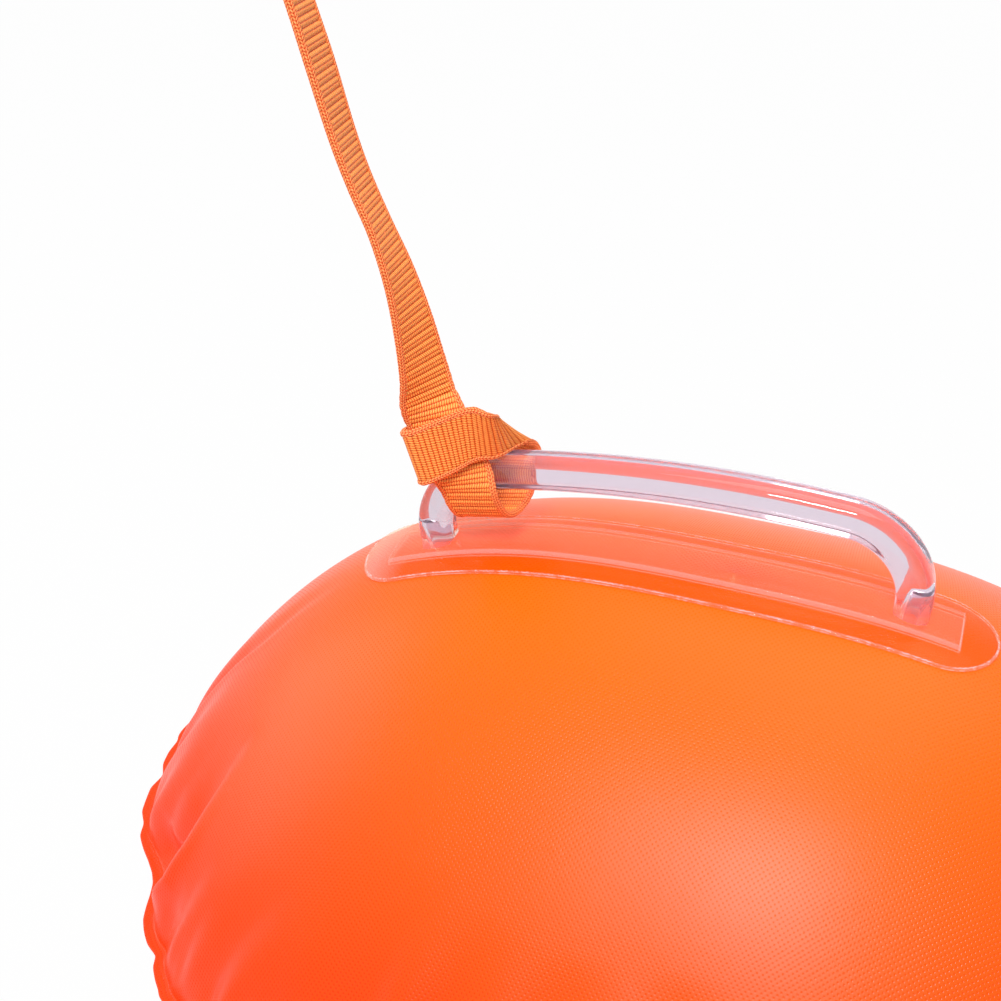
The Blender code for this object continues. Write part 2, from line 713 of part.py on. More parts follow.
def noose_path():
    """The webbing from the hinge down through the sewn eye, round the grip and back to the eye."""
    rows = []
    for along, side, beyond, level, above, *across in NOOSE_STATIONS:
        y = side * GRIP_DEEP / 2 + beyond * WEBBING_WIDTH
        height = level * GRIP_TALL / 2 + above * WEBBING_WIDTH
        rows.append((along * WEBBING_WIDTH, y, height, *across))
    return rows


def leash_noose(parts):
    """The slip noose that hangs on the grip."""
    path = smooth_path(noose_path(), NOOSE_STEPS)
    obj = ribbon("leash_noose", path, parts)
    obj.matrix_world = noose_place()
    bpy.context.view_layer.update()
    return finish(obj, WEBBING, 0.75)


def leash_rows():
    """Route of the leash in the world: points and directions across the webbing."""
    place = noose_place()
    top = noose_path()[0]
    start = place @ Vector((top[0], top[1], top[2] + HINGE_GAP))
    turned = place.to_3x3()
    centre = place.translation
    spots = [start]
    sides = [turned @ Vector(top[3:])]
    for *shift, twist in LEASH_ROUTE:
        turn = math.radians(twist)
        shift_x, shift_z = (share * WEBBING_WIDTH for share in shift)
        spots.append(Vector((centre.x + shift_x, start.y, centre.z + shift_z)))
        sides.append(turned @ Vector((math.cos(turn), math.sin(turn), 0)))
    rows = []
    for index, (spot, side) in enumerate(zip(spots, sides)):
        after = spots[min(index + 1, len(spots) - 1)]
        before = spots[max(index - 1, 0)]
        along = (after - before).normalized()
        rows.append((*spot, *(side - along * side.dot(along)).normalized()))
    return rows


def leash_strap(parts):
    """The free webbing from the noose up to its sewn end loop."""
    path = smooth_path(leash_rows(), RIBBON_STEPS)
    origin = Vector(path[0][:3])
    path[:, :3] -= np.array(origin)
    obj = ribbon("leash_strap", path, parts)
    obj.matrix_world = Matrix.Translation(origin)
    bpy.context.view_layer.update()
    return finish(obj, WEBBING, 0.75)


def end_frame():
    """Frame at the top of the strap: X across the webbing, Y through it and Z on along it."""
    rows = leash_rows()
    last, before = np.array(rows[-1]), np.array(rows[-2])
    along = Vector(last[:3] - before[:3]).normalized()
    across = Vector(last[3:])
    across = (across - along * across.dot(along)).normalized()
    through = along.cross(across)
    turn = Matrix((across, through, along)).transposed().to_4x4()
    return Matrix.Translation(Vector(last[:3])) @ turn


def end_loop(parts):
    """The sewn loop at the far end of the leash, lapped back down the strap."""
    layer = WEBBING_THICKNESS + PIECE_GAP
    half = LOOP_OPENING / 2
    middle = layer / 2
    low, belly, head = (LOOP_LENGTH * share for share in LOOP_LEVEL_SHARES)
    taper = half * LOOP_TAPER_SHARE
    parting = 2 * PIECE_GAP
    stations = [
        (0, 0, PIECE_GAP, 1, 0, 0),
        (0, -parting, low, 1, 0, 0),
        (0, middle - half, belly, 1, 0, 0),
        (0, middle - taper, head, 1, 0, 0),
        (0, middle, LOOP_LENGTH, 1, 0, 0),
        (0, middle + taper, head, 1, 0, 0),
        (0, middle + half, belly, 1, 0, 0),
        (0, layer + parting, low, 1, 0, 0),
        (0, layer, 0, 1, 0, 0),
        (0, layer, -LOOP_LAP, 1, 0, 0),
    ]
    obj = ribbon("leash_end_loop", smooth_path(stations, RIBBON_STEPS), parts)
    obj.matrix_world = end_frame()
    bpy.context.view_layer.update()
    return finish(obj, WEBBING, 0.75)


def stitching(name, place, level, start, length, parts):
    """A zigzag of thread lying on the webbing, its Z axis along the webbing."""
    data = bpy.data.curves.new(name, "CURVE")
    data.dimensions = "3D"
    data.bevel_depth = STITCH_RADIUS
    data.bevel_resolution = 1
    data.use_fill_caps = True
    line = data.splines.new("POLY")
    count = 2 * STITCH_TURNS
    line.points.add(count)
    for index in range(count + 1):
        across = (index % 2 - 0.5) * WEBBING_WIDTH * STITCH_WIDTH_SHARE
        line.points[index].co = (across, level, start + length * index / count, 1)
    obj = bpy.data.objects.new(name, data)
    obj.matrix_world = place
    parts.objects.link(obj)
    return finish(apply_modifiers(obj), THREAD, 0.6)


def leash_stitching(parts):
    """The zigzag of thread that closes the end loop."""
    layer = WEBBING_THICKNESS + PIECE_GAP
    level = layer + WEBBING_THICKNESS / 2 + STITCH_RADIUS + STITCH_GAP
    start = -LOOP_LAP * STITCH_START_SHARE
    length = LOOP_LAP * STITCH_LENGTH_SHARE
    stitching("end_loop_stitching", end_frame(), level, start, length, parts)


def build():
    """Build every piece of the buoy."""
    clear_scene()
    parts = new_collection("open_water_swim_buoy")
    cutters = new_collection("cutters", helper=True)
    panel("upper_panel", 1, parts, cutters)
    panel("lower_panel", -1, parts, cutters)
    chamber_wall(parts)
    carry_handle(parts, cutters)
    valve("upper", 1, parts, cutters)
    valve("lower", -1, parts, cutters)
    leash_noose(parts)
    leash_strap(parts)
    end_loop(parts)
    leash_stitching(parts)


build()
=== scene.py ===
"""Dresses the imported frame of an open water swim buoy.

The float is two coated skins welded round a seam, a clear handle moulding is welded over its crown, and a
webbing leash hangs on the grip in a slip noose. Every piece is a surface worked out with numpy, in metres,
in the frame's own axes: X along the float, Y across it, away from the camera, and Z up.
"""

from __future__ import annotations

import logging
import math
from collections.abc import Mapping, Sequence
from dataclasses import dataclass, field
from enum import Enum

import bmesh
import bpy
import numpy as np
from mathutils import Matrix, Vector


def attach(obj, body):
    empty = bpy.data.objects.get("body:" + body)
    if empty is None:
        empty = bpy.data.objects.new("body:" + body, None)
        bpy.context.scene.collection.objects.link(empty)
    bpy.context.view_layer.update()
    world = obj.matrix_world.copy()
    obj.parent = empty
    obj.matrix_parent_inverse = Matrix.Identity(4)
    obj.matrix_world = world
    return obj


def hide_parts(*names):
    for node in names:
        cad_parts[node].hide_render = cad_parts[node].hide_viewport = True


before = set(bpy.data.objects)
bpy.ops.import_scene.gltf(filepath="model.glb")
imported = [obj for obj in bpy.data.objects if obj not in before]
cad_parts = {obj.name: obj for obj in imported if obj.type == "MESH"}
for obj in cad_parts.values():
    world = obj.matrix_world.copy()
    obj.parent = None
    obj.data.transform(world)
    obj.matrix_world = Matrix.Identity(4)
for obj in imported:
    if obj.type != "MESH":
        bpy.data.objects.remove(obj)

LOG = logging.getLogger("swim_buoy")
MM = 0.001
Array = np.ndarray


class Body(str, Enum):
    """The frame's rigid bodies that pieces ride on."""

    BUOY = "buoy"
    NOOSE = "noose"
    LEASH = "leash"
    UPPER_STEM = "upper_stem"
    UPPER_PLUG = "upper_plug"
    UPPER_FLAP = "upper_flap"
    LOWER_STEM = "lower_stem"
    LOWER_PLUG = "lower_plug"
    LOWER_FLAP = "lower_flap"


class Slot(str, Enum):
    """The record's material slots."""

    SKIN = "coated_skin"
    FILM = "inner_film"
    HANDLE = "clear_handle"
    VALVE = "clear_valve"
    WEBBING = "webbing"
    THREAD = "thread"


class Join(str, Enum):
    """How one piece is worked into another."""

    ADD = "UNION"
    CUT = "DIFFERENCE"


# Materials


def linear(code: str) -> tuple[float, float, float, float]:
    """Turns an sRGB hex colour into linear light.

    Args:
        code: six hex digits.

    Returns:
        Red, green, blue and an alpha of one.
    """
    parts = [int(code[i : i + 2], 16) / 255 for i in (0, 2, 4)]
    lit = [p / 12.92 if p <= 0.04045 else ((p + 0.055) / 1.055) ** 2.4 for p in parts]
    return (lit[0], lit[1], lit[2], 1.0)


def add_node(
    tree: bpy.types.NodeTree,
    kind: str,
    inputs: Mapping[str | int, object] | None = None,
    **settings: object,
) -> bpy.types.Node:
    """Adds a node with its settings, and fills or links its inputs.

    Args:
        tree: the node tree.
        kind: the node's type.
        inputs: values or output sockets by input name or number.
        settings: the node's own properties.

    Returns:
        The node.
    """
    made = tree.nodes.new(kind)
    for key, value in settings.items():
        setattr(made, key, value)
    for key, value in (inputs or {}).items():
        if isinstance(value, bpy.types.NodeSocket):
            tree.links.new(value, made.inputs[key])
        else:
            made.inputs[key].default_value = value
    return made


def new_material(name: str) -> tuple[bpy.types.Material, bpy.types.NodeTree, bpy.types.Node]:
    """Makes a material that holds a Principled shader and its output.

    Args:
        name: the material's name.

    Returns:
        The material, its node tree and the shader.
    """
    material = bpy.data.materials.new(name)
    material.use_nodes = True
    tree = material.node_tree
    return material, tree, tree.nodes["Principled BSDF"]


@dataclass(frozen=True)
class CoatedNylon:
    """Nylon plain weave under a thermoplastic coating: the threads show as a faint grain under a satin film.

    The coating has sunk into the gaps between the threads, and leaves a pit at every second crossing, with
    painted shade in each pit. It is a fluorescent orange, with painted shade that makes it redder low down,
    where it sees less of the light from above, and painted light that makes it more orange towards the crown.
    """

    name: str = "coated_nylon_welded"
    # The crown colour holds painted light, and the low colour painted shade
    lit_crown_hex: str = "FF6202"
    shaded_low_hex: str = "FF3501"
    # Heights over which painted shade turns to painted light, and the share of it that the clouds take
    low_level: float = 150 * MM
    crown_level: float = 256 * MM
    cloud_share: float = 0.2
    # A pit at every second crossing is as fine as the picture shows; filaments are left to the scuff noise
    thread_pitch: float = 0.95 * MM
    grain_depth: float = 0.09 * MM
    # Painted shade in the pits, as a share of the colour
    pit_shade: float = 0.16
    cloud_size: float = 90 * MM
    roughness: float = 0.24
    specular: float = 0.19
    sheen: float = 0.03
    sheen_roughness: float = 0.6
    sheen_hex: str = "FFB49C"
    scuff_scale: float = 260.0

    def build(self) -> bpy.types.Material:
        """Builds the material: painted shade and light by height with faint clouds, painted shade in the
        pits, a woven grain and a satin gloss.

        Returns:
            The material.
        """
        material, tree, shader = new_material(self.name)
        spots = add_node(tree, "ShaderNodeTexCoord")
        level = add_node(tree, "ShaderNodeSeparateXYZ", {0: spots.outputs["Object"]})
        # Painted light and shade: the colour runs from the shaded low colour to the lit crown colour by
        # height
        high = add_node(
            tree, "ShaderNodeMapRange", {0: level.outputs[2], 1: self.low_level, 2: self.crown_level}
        )
        rise = add_node(tree, "ShaderNodeMath", {0: high.outputs[0], 1: 1.5}, operation="POWER")
        cloud = add_node(
            tree,
            "ShaderNodeTexNoise",
            {
                "Vector": spots.outputs["Object"],
                "Scale": 1 / self.cloud_size,
                "Detail": 3.0,
                "Roughness": 0.5,
            },
        )
        share = add_node(
            tree,
            "ShaderNodeMath",
            {0: cloud.outputs["Fac"], 1: self.cloud_share, 2: rise.outputs[0]},
            operation="MULTIPLY_ADD",
        )
        map_uv = add_node(tree, "ShaderNodeUVMap", uv_map="cloth")
        split = add_node(tree, "ShaderNodeSeparateXYZ", {0: map_uv.outputs[0]})
        turns = [
            add_node(tree, "ShaderNodeMath", {0: side, 1: math.pi / self.thread_pitch}, operation="MULTIPLY")
            for side in split.outputs[:2]
        ]
        sines = [add_node(tree, "ShaderNodeMath", {0: turn.outputs[0]}, operation="SINE") for turn in turns]
        pits = add_node(
            tree, "ShaderNodeMath", {0: sines[0].outputs[0], 1: sines[1].outputs[0]}, operation="MULTIPLY"
        )
        weave = add_node(
            tree,
            "ShaderNodeMapRange",
            {0: pits.outputs[0], 1: 0.1, 2: 1.0, 3: 1.0, 4: 0.0},
            interpolation_type="SMOOTHSTEP",
        )
        # Painted shade: the pits are darker than the threads between them, as they hold less light
        pitted = add_node(
            tree,
            "ShaderNodeMath",
            {0: weave.outputs[0], 1: self.pit_shade, 2: share.outputs[0]},
            operation="MULTIPLY_ADD",
        )
        painted_light_and_shade = add_node(
            tree,
            "ShaderNodeMath",
            {0: pitted.outputs[0], 1: self.pit_shade},
            operation="SUBTRACT",
            use_clamp=True,
        )
        tone = add_node(
            tree,
            "ShaderNodeMix",
            {0: painted_light_and_shade.outputs[0], 6: linear(self.shaded_low_hex), 7: linear(self.lit_crown_hex)},
            data_type="RGBA",
        )
        scuff = add_node(
            tree,
            "ShaderNodeTexNoise",
            {"Vector": spots.outputs["Object"], "Scale": self.scuff_scale, "Detail": 4.0, "Roughness": 0.6},
        )
        grain = add_node(
            tree,
            "ShaderNodeMath",
            {0: scuff.outputs["Fac"], 1: 0.5, 2: weave.outputs[0]},
            operation="MULTIPLY_ADD",
        )
        bump = add_node(
            tree,
            "ShaderNodeBump",
            {"Height": grain.outputs[0], "Strength": 0.7, "Distance": self.grain_depth},
        )
        gloss = add_node(
            tree,
            "ShaderNodeMapRange",
            {0: grain.outputs[0], 3: self.roughness - 0.05, 4: self.roughness + 0.1},
        )
        tree.links.new(tone.outputs[2], shader.inputs["Base Color"])
        tree.links.new(gloss.outputs[0], shader.inputs["Roughness"])
        tree.links.new(bump.outputs[0], shader.inputs["Normal"])
        shader.inputs["Specular IOR Level"].default_value = self.specular
        shader.inputs["Sheen Weight"].default_value = self.sheen
        shader.inputs["Sheen Roughness"].default_value = self.sheen_roughness
        shader.inputs["Sheen Tint"].default_value = linear(self.sheen_hex)
        return material


@dataclass(frozen=True)
class ClearVinyl:
    """Injection-moulded plasticised PVC: clear with a faint lavender tint, glossy, with soft flow ripples."""

    name: str = "clear_pvc_moulded"
    tint_hex: str = "E2D5DF"
    roughness: float = 0.04
    ior: float = 1.5
    ripple_size: float = 9 * MM
    ripple_depth: float = 0.12 * MM
    passes_light: float = 0.85
    haze_hex: str = "C9BCD6"
    haze: float = 0.07

    def build(self) -> bpy.types.Material:
        """Builds the material: a clear refracting body with a faint haze, whose shadow passes most light.

        Returns:
            The material.
        """
        material, tree, shader = new_material(self.name)
        spots = add_node(tree, "ShaderNodeTexCoord")
        ripple = add_node(
            tree,
            "ShaderNodeTexNoise",
            {"Vector": spots.outputs["Object"], "Scale": 1 / self.ripple_size, "Detail": 2.0},
        )
        bump = add_node(
            tree,
            "ShaderNodeBump",
            {"Height": ripple.outputs["Fac"], "Strength": 0.4, "Distance": self.ripple_depth},
        )
        tree.links.new(bump.outputs[0], shader.inputs["Normal"])
        shader.inputs["Base Color"].default_value = linear(self.tint_hex)
        shader.inputs["Roughness"].default_value = self.roughness
        shader.inputs["IOR"].default_value = self.ior
        shader.inputs["Transmission Weight"].default_value = 1.0
        milk = add_node(tree, "ShaderNodeBsdfDiffuse", {0: linear(self.haze_hex)})
        body = add_node(
            tree, "ShaderNodeMixShader", {0: self.haze, 1: shader.outputs[0], 2: milk.outputs[0]}
        )
        clear = add_node(tree, "ShaderNodeBsdfTransparent", {0: linear(self.tint_hex)})
        path = add_node(tree, "ShaderNodeLightPath")
        share = add_node(
            tree,
            "ShaderNodeMath",
            {0: path.outputs["Is Shadow Ray"], 1: self.passes_light},
            operation="MULTIPLY",
        )
        mixed = add_node(
            tree,
            "ShaderNodeMixShader",
            {0: share.outputs[0], 1: body.outputs[0], 2: clear.outputs[0]},
        )
        tree.links.new(mixed.outputs[0], tree.nodes["Material Output"].inputs["Surface"])
        return material


@dataclass(frozen=True)
class WeldedSheet:
    """The moulding's thin flange and strip: clear sheet with a gloss, hazy where it is thick or stands free.

    Sheet about 1 mm thick hardly bends the light that crosses it, so the light goes straight through, tinted,
    and each face adds its gloss, which rises towards a grazing view, and a little haze.
    """

    name: str = "clear_pvc_flange"
    tint_hex: str = "FFF3E4"
    haze_hex: str = "F7DDE0"
    middle: float = -24 * MM
    spine: float = 89.5 * MM
    rim_reach: float = 17.9 * MM
    rim_haze: float = 0.4
    # Breaks the weld line up over about 2.4 mm, a little coarser than the tool's knurls, so that it shows
    knurl_scale: float = 420.0
    strip_half: float = 9 * MM
    strip_length: float = 192 * MM
    strip_haze: float = 0.04
    line_half: float = 0.5 * MM
    line_haze: float = 0.25
    blur: float = 0.3 * MM
    left_end: float = -112 * MM
    left_run: float = 14 * MM
    left_haze: float = 0.12
    clear_haze: float = 0.0
    face_gloss: float = 0.005
    edge_gloss: float = 0.3

    def build(self) -> bpy.types.Material:
        """Builds the material: a tinted clear body, haze by place and a fresnel gloss.

        Returns:
            The material.
        """
        material, tree, haze = new_material(self.name)
        spots = add_node(tree, "ShaderNodeTexCoord")
        place = add_node(tree, "ShaderNodeSeparateXYZ", {0: spots.outputs["Object"]})
        found = {"x": place.outputs[0], "y": place.outputs[1]}
        sums = (
            ("aside", "ABSOLUTE", "y"),
            ("from_middle", "SUBTRACT", "x", self.middle),
            ("size", "ABSOLUTE", "from_middle"),
            # Inside the strip's square outline the edge is below half its width, at its ends as at its sides
            ("ends", "SUBTRACT", "size", self.strip_length / 2 - self.strip_half),
            ("edge", "MAXIMUM", "aside", "ends"),
            ("off", "SUBTRACT", "edge", self.strip_half),
            ("near", "ABSOLUTE", "off"),
            ("past", "SUBTRACT", "size", self.spine),
            ("beyond", "MAXIMUM", "past", 0.0),
        )
        for word, operation, *terms in sums:
            inputs = {spot: found.get(term, term) for spot, term in enumerate(terms)}
            found[word] = add_node(tree, "ShaderNodeMath", inputs, operation=operation).outputs[0]
        strip = add_node(
            tree,
            "ShaderNodeMapRange",
            {
                0: found["edge"],
                1: self.strip_half - self.blur,
                2: self.strip_half + self.blur,
                3: self.strip_haze,
                4: self.clear_haze,
            },
        )
        line = add_node(
            tree, "ShaderNodeMapRange", {0: found["near"], 2: self.line_half, 3: self.line_haze, 4: 0.0}
        )
        left = add_node(
            tree,
            "ShaderNodeMapRange",
            {
                0: place.outputs[0],
                1: self.left_end,
                2: self.left_end - self.left_run,
                3: 0.0,
                4: self.left_haze,
            },
        )
        most = add_node(
            tree, "ShaderNodeMath", {0: strip.outputs[0], 1: left.outputs[0]}, operation="MAXIMUM"
        )
        # The weld shows as a broken pale line along the rim, at one distance from the oval's spine
        offset = add_node(tree, "ShaderNodeCombineXYZ", {0: found["beyond"], 1: found["y"]})
        reach = add_node(tree, "ShaderNodeVectorMath", {0: offset.outputs[0]}, operation="LENGTH")
        beside = add_node(
            tree, "ShaderNodeMath", {0: reach.outputs["Value"], 1: self.rim_reach}, operation="SUBTRACT"
        )
        apart = add_node(tree, "ShaderNodeMath", {0: beside.outputs[0]}, operation="ABSOLUTE")
        knurl = add_node(
            tree,
            "ShaderNodeTexNoise",
            {"Vector": spots.outputs["Object"], "Scale": self.knurl_scale, "Detail": 1.0},
        )
        broken = add_node(
            tree, "ShaderNodeMapRange", {0: knurl.outputs["Fac"], 1: 0.35, 2: 0.65, 3: 0.1, 4: self.rim_haze}
        )
        weld = add_node(
            tree,
            "ShaderNodeMapRange",
            {0: apart.outputs[0], 1: 0.15 * MM, 2: 0.45 * MM, 3: broken.outputs[0], 4: 0.0},
        )
        lines = add_node(
            tree, "ShaderNodeMath", {0: weld.outputs[0], 1: line.outputs[0]}, operation="MAXIMUM"
        )
        share = add_node(
            tree, "ShaderNodeMath", {0: most.outputs[0], 1: lines.outputs[0]}, operation="MAXIMUM"
        )
        clear = add_node(tree, "ShaderNodeBsdfTransparent", {0: linear(self.tint_hex)})
        haze.inputs["Base Color"].default_value = linear(self.haze_hex)
        haze.inputs["Roughness"].default_value = 0.35
        haze.inputs["Specular IOR Level"].default_value = 0.3
        body = add_node(
            tree, "ShaderNodeMixShader", {0: share.outputs[0], 1: clear.outputs[0], 2: haze.outputs[0]}
        )
        facing = add_node(tree, "ShaderNodeLayerWeight", {0: 0.5})
        steep = add_node(tree, "ShaderNodeMath", {0: facing.outputs["Facing"], 1: 5.0}, operation="POWER")
        fresnel = add_node(
            tree,
            "ShaderNodeMath",
            {0: steep.outputs[0], 1: self.edge_gloss, 2: self.face_gloss},
            operation="MULTIPLY_ADD",
        )
        gloss = add_node(tree, "ShaderNodeBsdfGlossy", {0: (1, 1, 1, 1), 1: 0.08})
        mixed = add_node(
            tree, "ShaderNodeMixShader", {0: fresnel.outputs[0], 1: body.outputs[0], 2: gloss.outputs[0]}
        )
        tree.links.new(mixed.outputs[0], tree.nodes["Material Output"].inputs["Surface"])
        return material


@dataclass(frozen=True)
class WovenPolyester:
    """Woven polyester: rows of slanted yarn floats, with a painted highlight on their crests and painted
    shade in the gaps between them.

    On the face of the webbing the rows run across it, and each row's floats stand half a pitch aside of the
    next row's. On the selvedge the rows run along it, and their slant turns from row to row, as in a chain.
    """

    name: str = "polyester_webbing_woven"
    # light_hex is a painted highlight on the float crests, and shade_hex painted shade in the gaps
    light_hex: str = "FFA852"
    body_hex: str = "F06818"
    shade_hex: str = "AA2A06"
    row_axis: int = 1
    # Rows and floats are drawn, and single filaments, which are too fine to show, are left to the fuzz
    row_pitch: float = 1.6 * MM
    yarn_pitch: float = 0.86 * MM
    shift: float = 0.5
    slant: float = 0.8
    turning: bool = False
    yarn_depth: float = 0.22 * MM
    fuzz_scale: float = 1100.0
    roughness: float = 0.55
    sheen: float = 0.1
    sheen_hex: str = "FFC890"

    def build(self) -> bpy.types.Material:
        """Builds the material: the yarns' relief drives the bump, and the colour as a painted highlight on
        the crests and painted shade in the gaps.

        Returns:
            The material.
        """
        material, tree, shader = new_material(self.name)
        map_uv = add_node(tree, "ShaderNodeUVMap", uv_map="cloth")
        split = add_node(tree, "ShaderNodeSeparateXYZ", {0: map_uv.outputs[0]})
        fuzz = add_node(
            tree,
            "ShaderNodeTexNoise",
            {"Vector": map_uv.outputs[0], "Scale": self.fuzz_scale, "Detail": 3.0, "Roughness": 0.7},
        )
        found = {
            "over": split.outputs[self.row_axis],
            "along": split.outputs[1 - self.row_axis],
            "fuzz": fuzz.outputs["Fac"],
        }
        sums = (
            ("rows", "DIVIDE", "over", self.row_pitch),
            ("within", "FRACT", "rows"),
            ("whole", "FLOOR", "rows"),
            ("odd", "FLOORED_MODULO", "whole", 2.0),
            # The float's slant, which turns in every second row of a chain
            ("slope", "MULTIPLY_ADD", "odd", -2 * self.slant * self.turning, self.slant),
            ("centred", "SUBTRACT", "within", 0.5),
            ("lean", "MULTIPLY", "centred", "slope"),
            ("place", "DIVIDE", "along", self.yarn_pitch),
            ("shifted", "MULTIPLY_ADD", "odd", self.shift, "place"),
            ("phase", "ADD", "shifted", "lean"),
            # A crest is the size of the cosine of half a turn per yarn
            ("turn", "MULTIPLY", "phase", math.pi),
            ("wave", "COSINE", "turn"),
            ("crest", "ABSOLUTE", "wave"),
            ("raised", "MULTIPLY_ADD", "crest", 0.75, 0.25),
            # A row bulges as the sine of half a turn, to the power 0.4
            ("arch", "MULTIPLY", "within", math.pi),
            ("dome", "SINE", "arch"),
            ("bulge", "POWER", "dome", 0.4),
            ("relief", "MULTIPLY", "bulge", "raised"),
            ("fuzzed_relief", "MULTIPLY_ADD", "fuzz", 0.5, "relief"),
        )
        for word, operation, *terms in sums:
            inputs = {spot: found.get(term, term) for spot, term in enumerate(terms)}
            found[word] = add_node(tree, "ShaderNodeMath", inputs, operation=operation).outputs[0]
        # The colour paints highlight on the crests and shade in the gaps, by the relief and its fuzz
        ramp = add_node(tree, "ShaderNodeValToRGB", {0: found["fuzzed_relief"]})
        stops = ramp.color_ramp.elements
        stops[0].position, stops[0].color = 0.35, linear(self.shade_hex)
        stops[1].position, stops[1].color = 1.0, linear(self.light_hex)
        middle = stops.new(0.75)
        middle.color = linear(self.body_hex)
        bump = add_node(
            tree,
            "ShaderNodeBump",
            {"Height": found["fuzzed_relief"], "Strength": 0.9, "Distance": self.yarn_depth},
        )
        tree.links.new(ramp.outputs[0], shader.inputs["Base Color"])
        tree.links.new(bump.outputs[0], shader.inputs["Normal"])
        shader.inputs["Roughness"].default_value = self.roughness
        shader.inputs["Specular IOR Level"].default_value = 0.35
        shader.inputs["Sheen Weight"].default_value = self.sheen
        shader.inputs["Sheen Roughness"].default_value = 0.5
        shader.inputs["Sheen Tint"].default_value = linear(self.sheen_hex)
        return material


# The chained selvedge: its light colour is a painted highlight on the crests, its shade colour painted shade
# in the gaps
CHAINED_EDGE = WovenPolyester(
    name="polyester_yarn_chained",
    light_hex="FF9E5C",
    body_hex="EC5F22",
    shade_hex="B03010",
    row_axis=0,
    row_pitch=1.1 * MM,
    yarn_pitch=1.05 * MM,
    shift=0.0,
    slant=0.8,
    turning=True,
)


@dataclass(frozen=True)
class TwistedYarn:
    """Bonded polyester sewing thread: fine twisted strands under a thin bonding."""

    name: str = "sewing_thread_bonded"
    light_hex: str = "FF8F5A"
    shade_hex: str = "E0481C"
    strand_size: float = 0.5 * MM
    roughness: float = 0.6

    def build(self) -> bpy.types.Material:
        """Builds the material: light and dark strands on a rough yarn.

        Returns:
            The material.
        """
        material, tree, shader = new_material(self.name)
        spots = add_node(tree, "ShaderNodeTexCoord")
        strands = add_node(
            tree,
            "ShaderNodeTexNoise",
            {"Vector": spots.outputs["Object"], "Scale": 1 / self.strand_size, "Detail": 2.0},
        )
        tone = add_node(
            tree,
            "ShaderNodeMix",
            {0: strands.outputs["Fac"], 6: linear(self.shade_hex), 7: linear(self.light_hex)},
            data_type="RGBA",
        )
        bump = add_node(
            tree,
            "ShaderNodeBump",
            {"Height": strands.outputs["Fac"], "Strength": 0.5, "Distance": 0.1 * MM},
        )
        tree.links.new(tone.outputs[2], shader.inputs["Base Color"])
        tree.links.new(bump.outputs[0], shader.inputs["Normal"])
        shader.inputs["Roughness"].default_value = self.roughness
        shader.inputs["Sheen Weight"].default_value = 0.4
        return material


@dataclass(frozen=True)
class PolymerFilm:
    """Calendered polyurethane film: thin, matte, with a faint grain left by the rollers."""

    name: str = "polyurethane_film_calendered"
    body_hex: str = "F0571A"
    roughness: float = 0.55

    def build(self) -> bpy.types.Material:
        """Builds the material: one colour with a fine grain in its gloss and bump.

        Returns:
            The material.
        """
        material, tree, shader = new_material(self.name)
        spots = add_node(tree, "ShaderNodeTexCoord")
        grain = add_node(
            tree,
            "ShaderNodeTexNoise",
            {"Vector": spots.outputs["Object"], "Scale": 900.0, "Detail": 2.0},
        )
        bump = add_node(
            tree,
            "ShaderNodeBump",
            {"Height": grain.outputs["Fac"], "Strength": 0.3, "Distance": 0.02 * MM},
        )
        gloss = add_node(
            tree,
            "ShaderNodeMapRange",
            {0: grain.outputs["Fac"], 3: self.roughness - 0.08, 4: self.roughness + 0.08},
        )
        tree.links.new(bump.outputs[0], shader.inputs["Normal"])
        tree.links.new(gloss.outputs[0], shader.inputs["Roughness"])
        shader.inputs["Base Color"].default_value = linear(self.body_hex)
        return material


# Surfaces


def grid_quads(rows: int, columns: int, wrap_rows: bool, wrap_columns: bool) -> Array:
    """Corner numbers of the quads of a grid.

    Args:
        rows: points along the first parameter.
        columns: points along the second parameter.
        wrap_rows: joins the last row to the first.
        wrap_columns: joins the last column to the first.

    Returns:
        One row of four point numbers per quad.
    """
    index = np.arange(rows * columns).reshape(rows, columns)
    if wrap_rows:
        index = np.vstack([index, index[:1]])
    if wrap_columns:
        index = np.hstack([index, index[:, :1]])
    corners = [index[:-1, :-1], index[:-1, 1:], index[1:, 1:], index[1:, :-1]]
    return np.stack(corners, -1).reshape(-1, 4)


def make_mesh(name: str, points: Array, quads: Array, uv: Array | None = None) -> bpy.types.Object:
    """Puts points and quads into a mesh object at the origin.

    Args:
        name: the piece's name.
        points: one row of X, Y and Z per point.
        quads: one row of four point numbers per face.
        uv: one row of U and V per point, kept in the map named cloth.

    Returns:
        The object, smooth, with its faces pointing out.
    """
    mesh = bpy.data.meshes.new(name)
    mesh.vertices.add(len(points))
    mesh.vertices.foreach_set("co", np.ascontiguousarray(points, np.float32).ravel())
    mesh.loops.add(quads.size)
    mesh.loops.foreach_set("vertex_index", quads.astype(np.int32).ravel())
    mesh.polygons.add(len(quads))
    mesh.polygons.foreach_set("loop_start", np.arange(0, quads.size, 4, dtype=np.int32))
    mesh.polygons.foreach_set("use_smooth", np.ones(len(quads), bool))
    mesh.update(calc_edges=True)
    if uv is not None:
        layer = mesh.uv_layers.new(name="cloth")
        layer.data.foreach_set("uv", uv[quads.ravel()].astype(np.float32).ravel())
    mesh.validate()
    made = bpy.data.objects.new(name, mesh)
    bpy.context.scene.collection.objects.link(made)
    return made


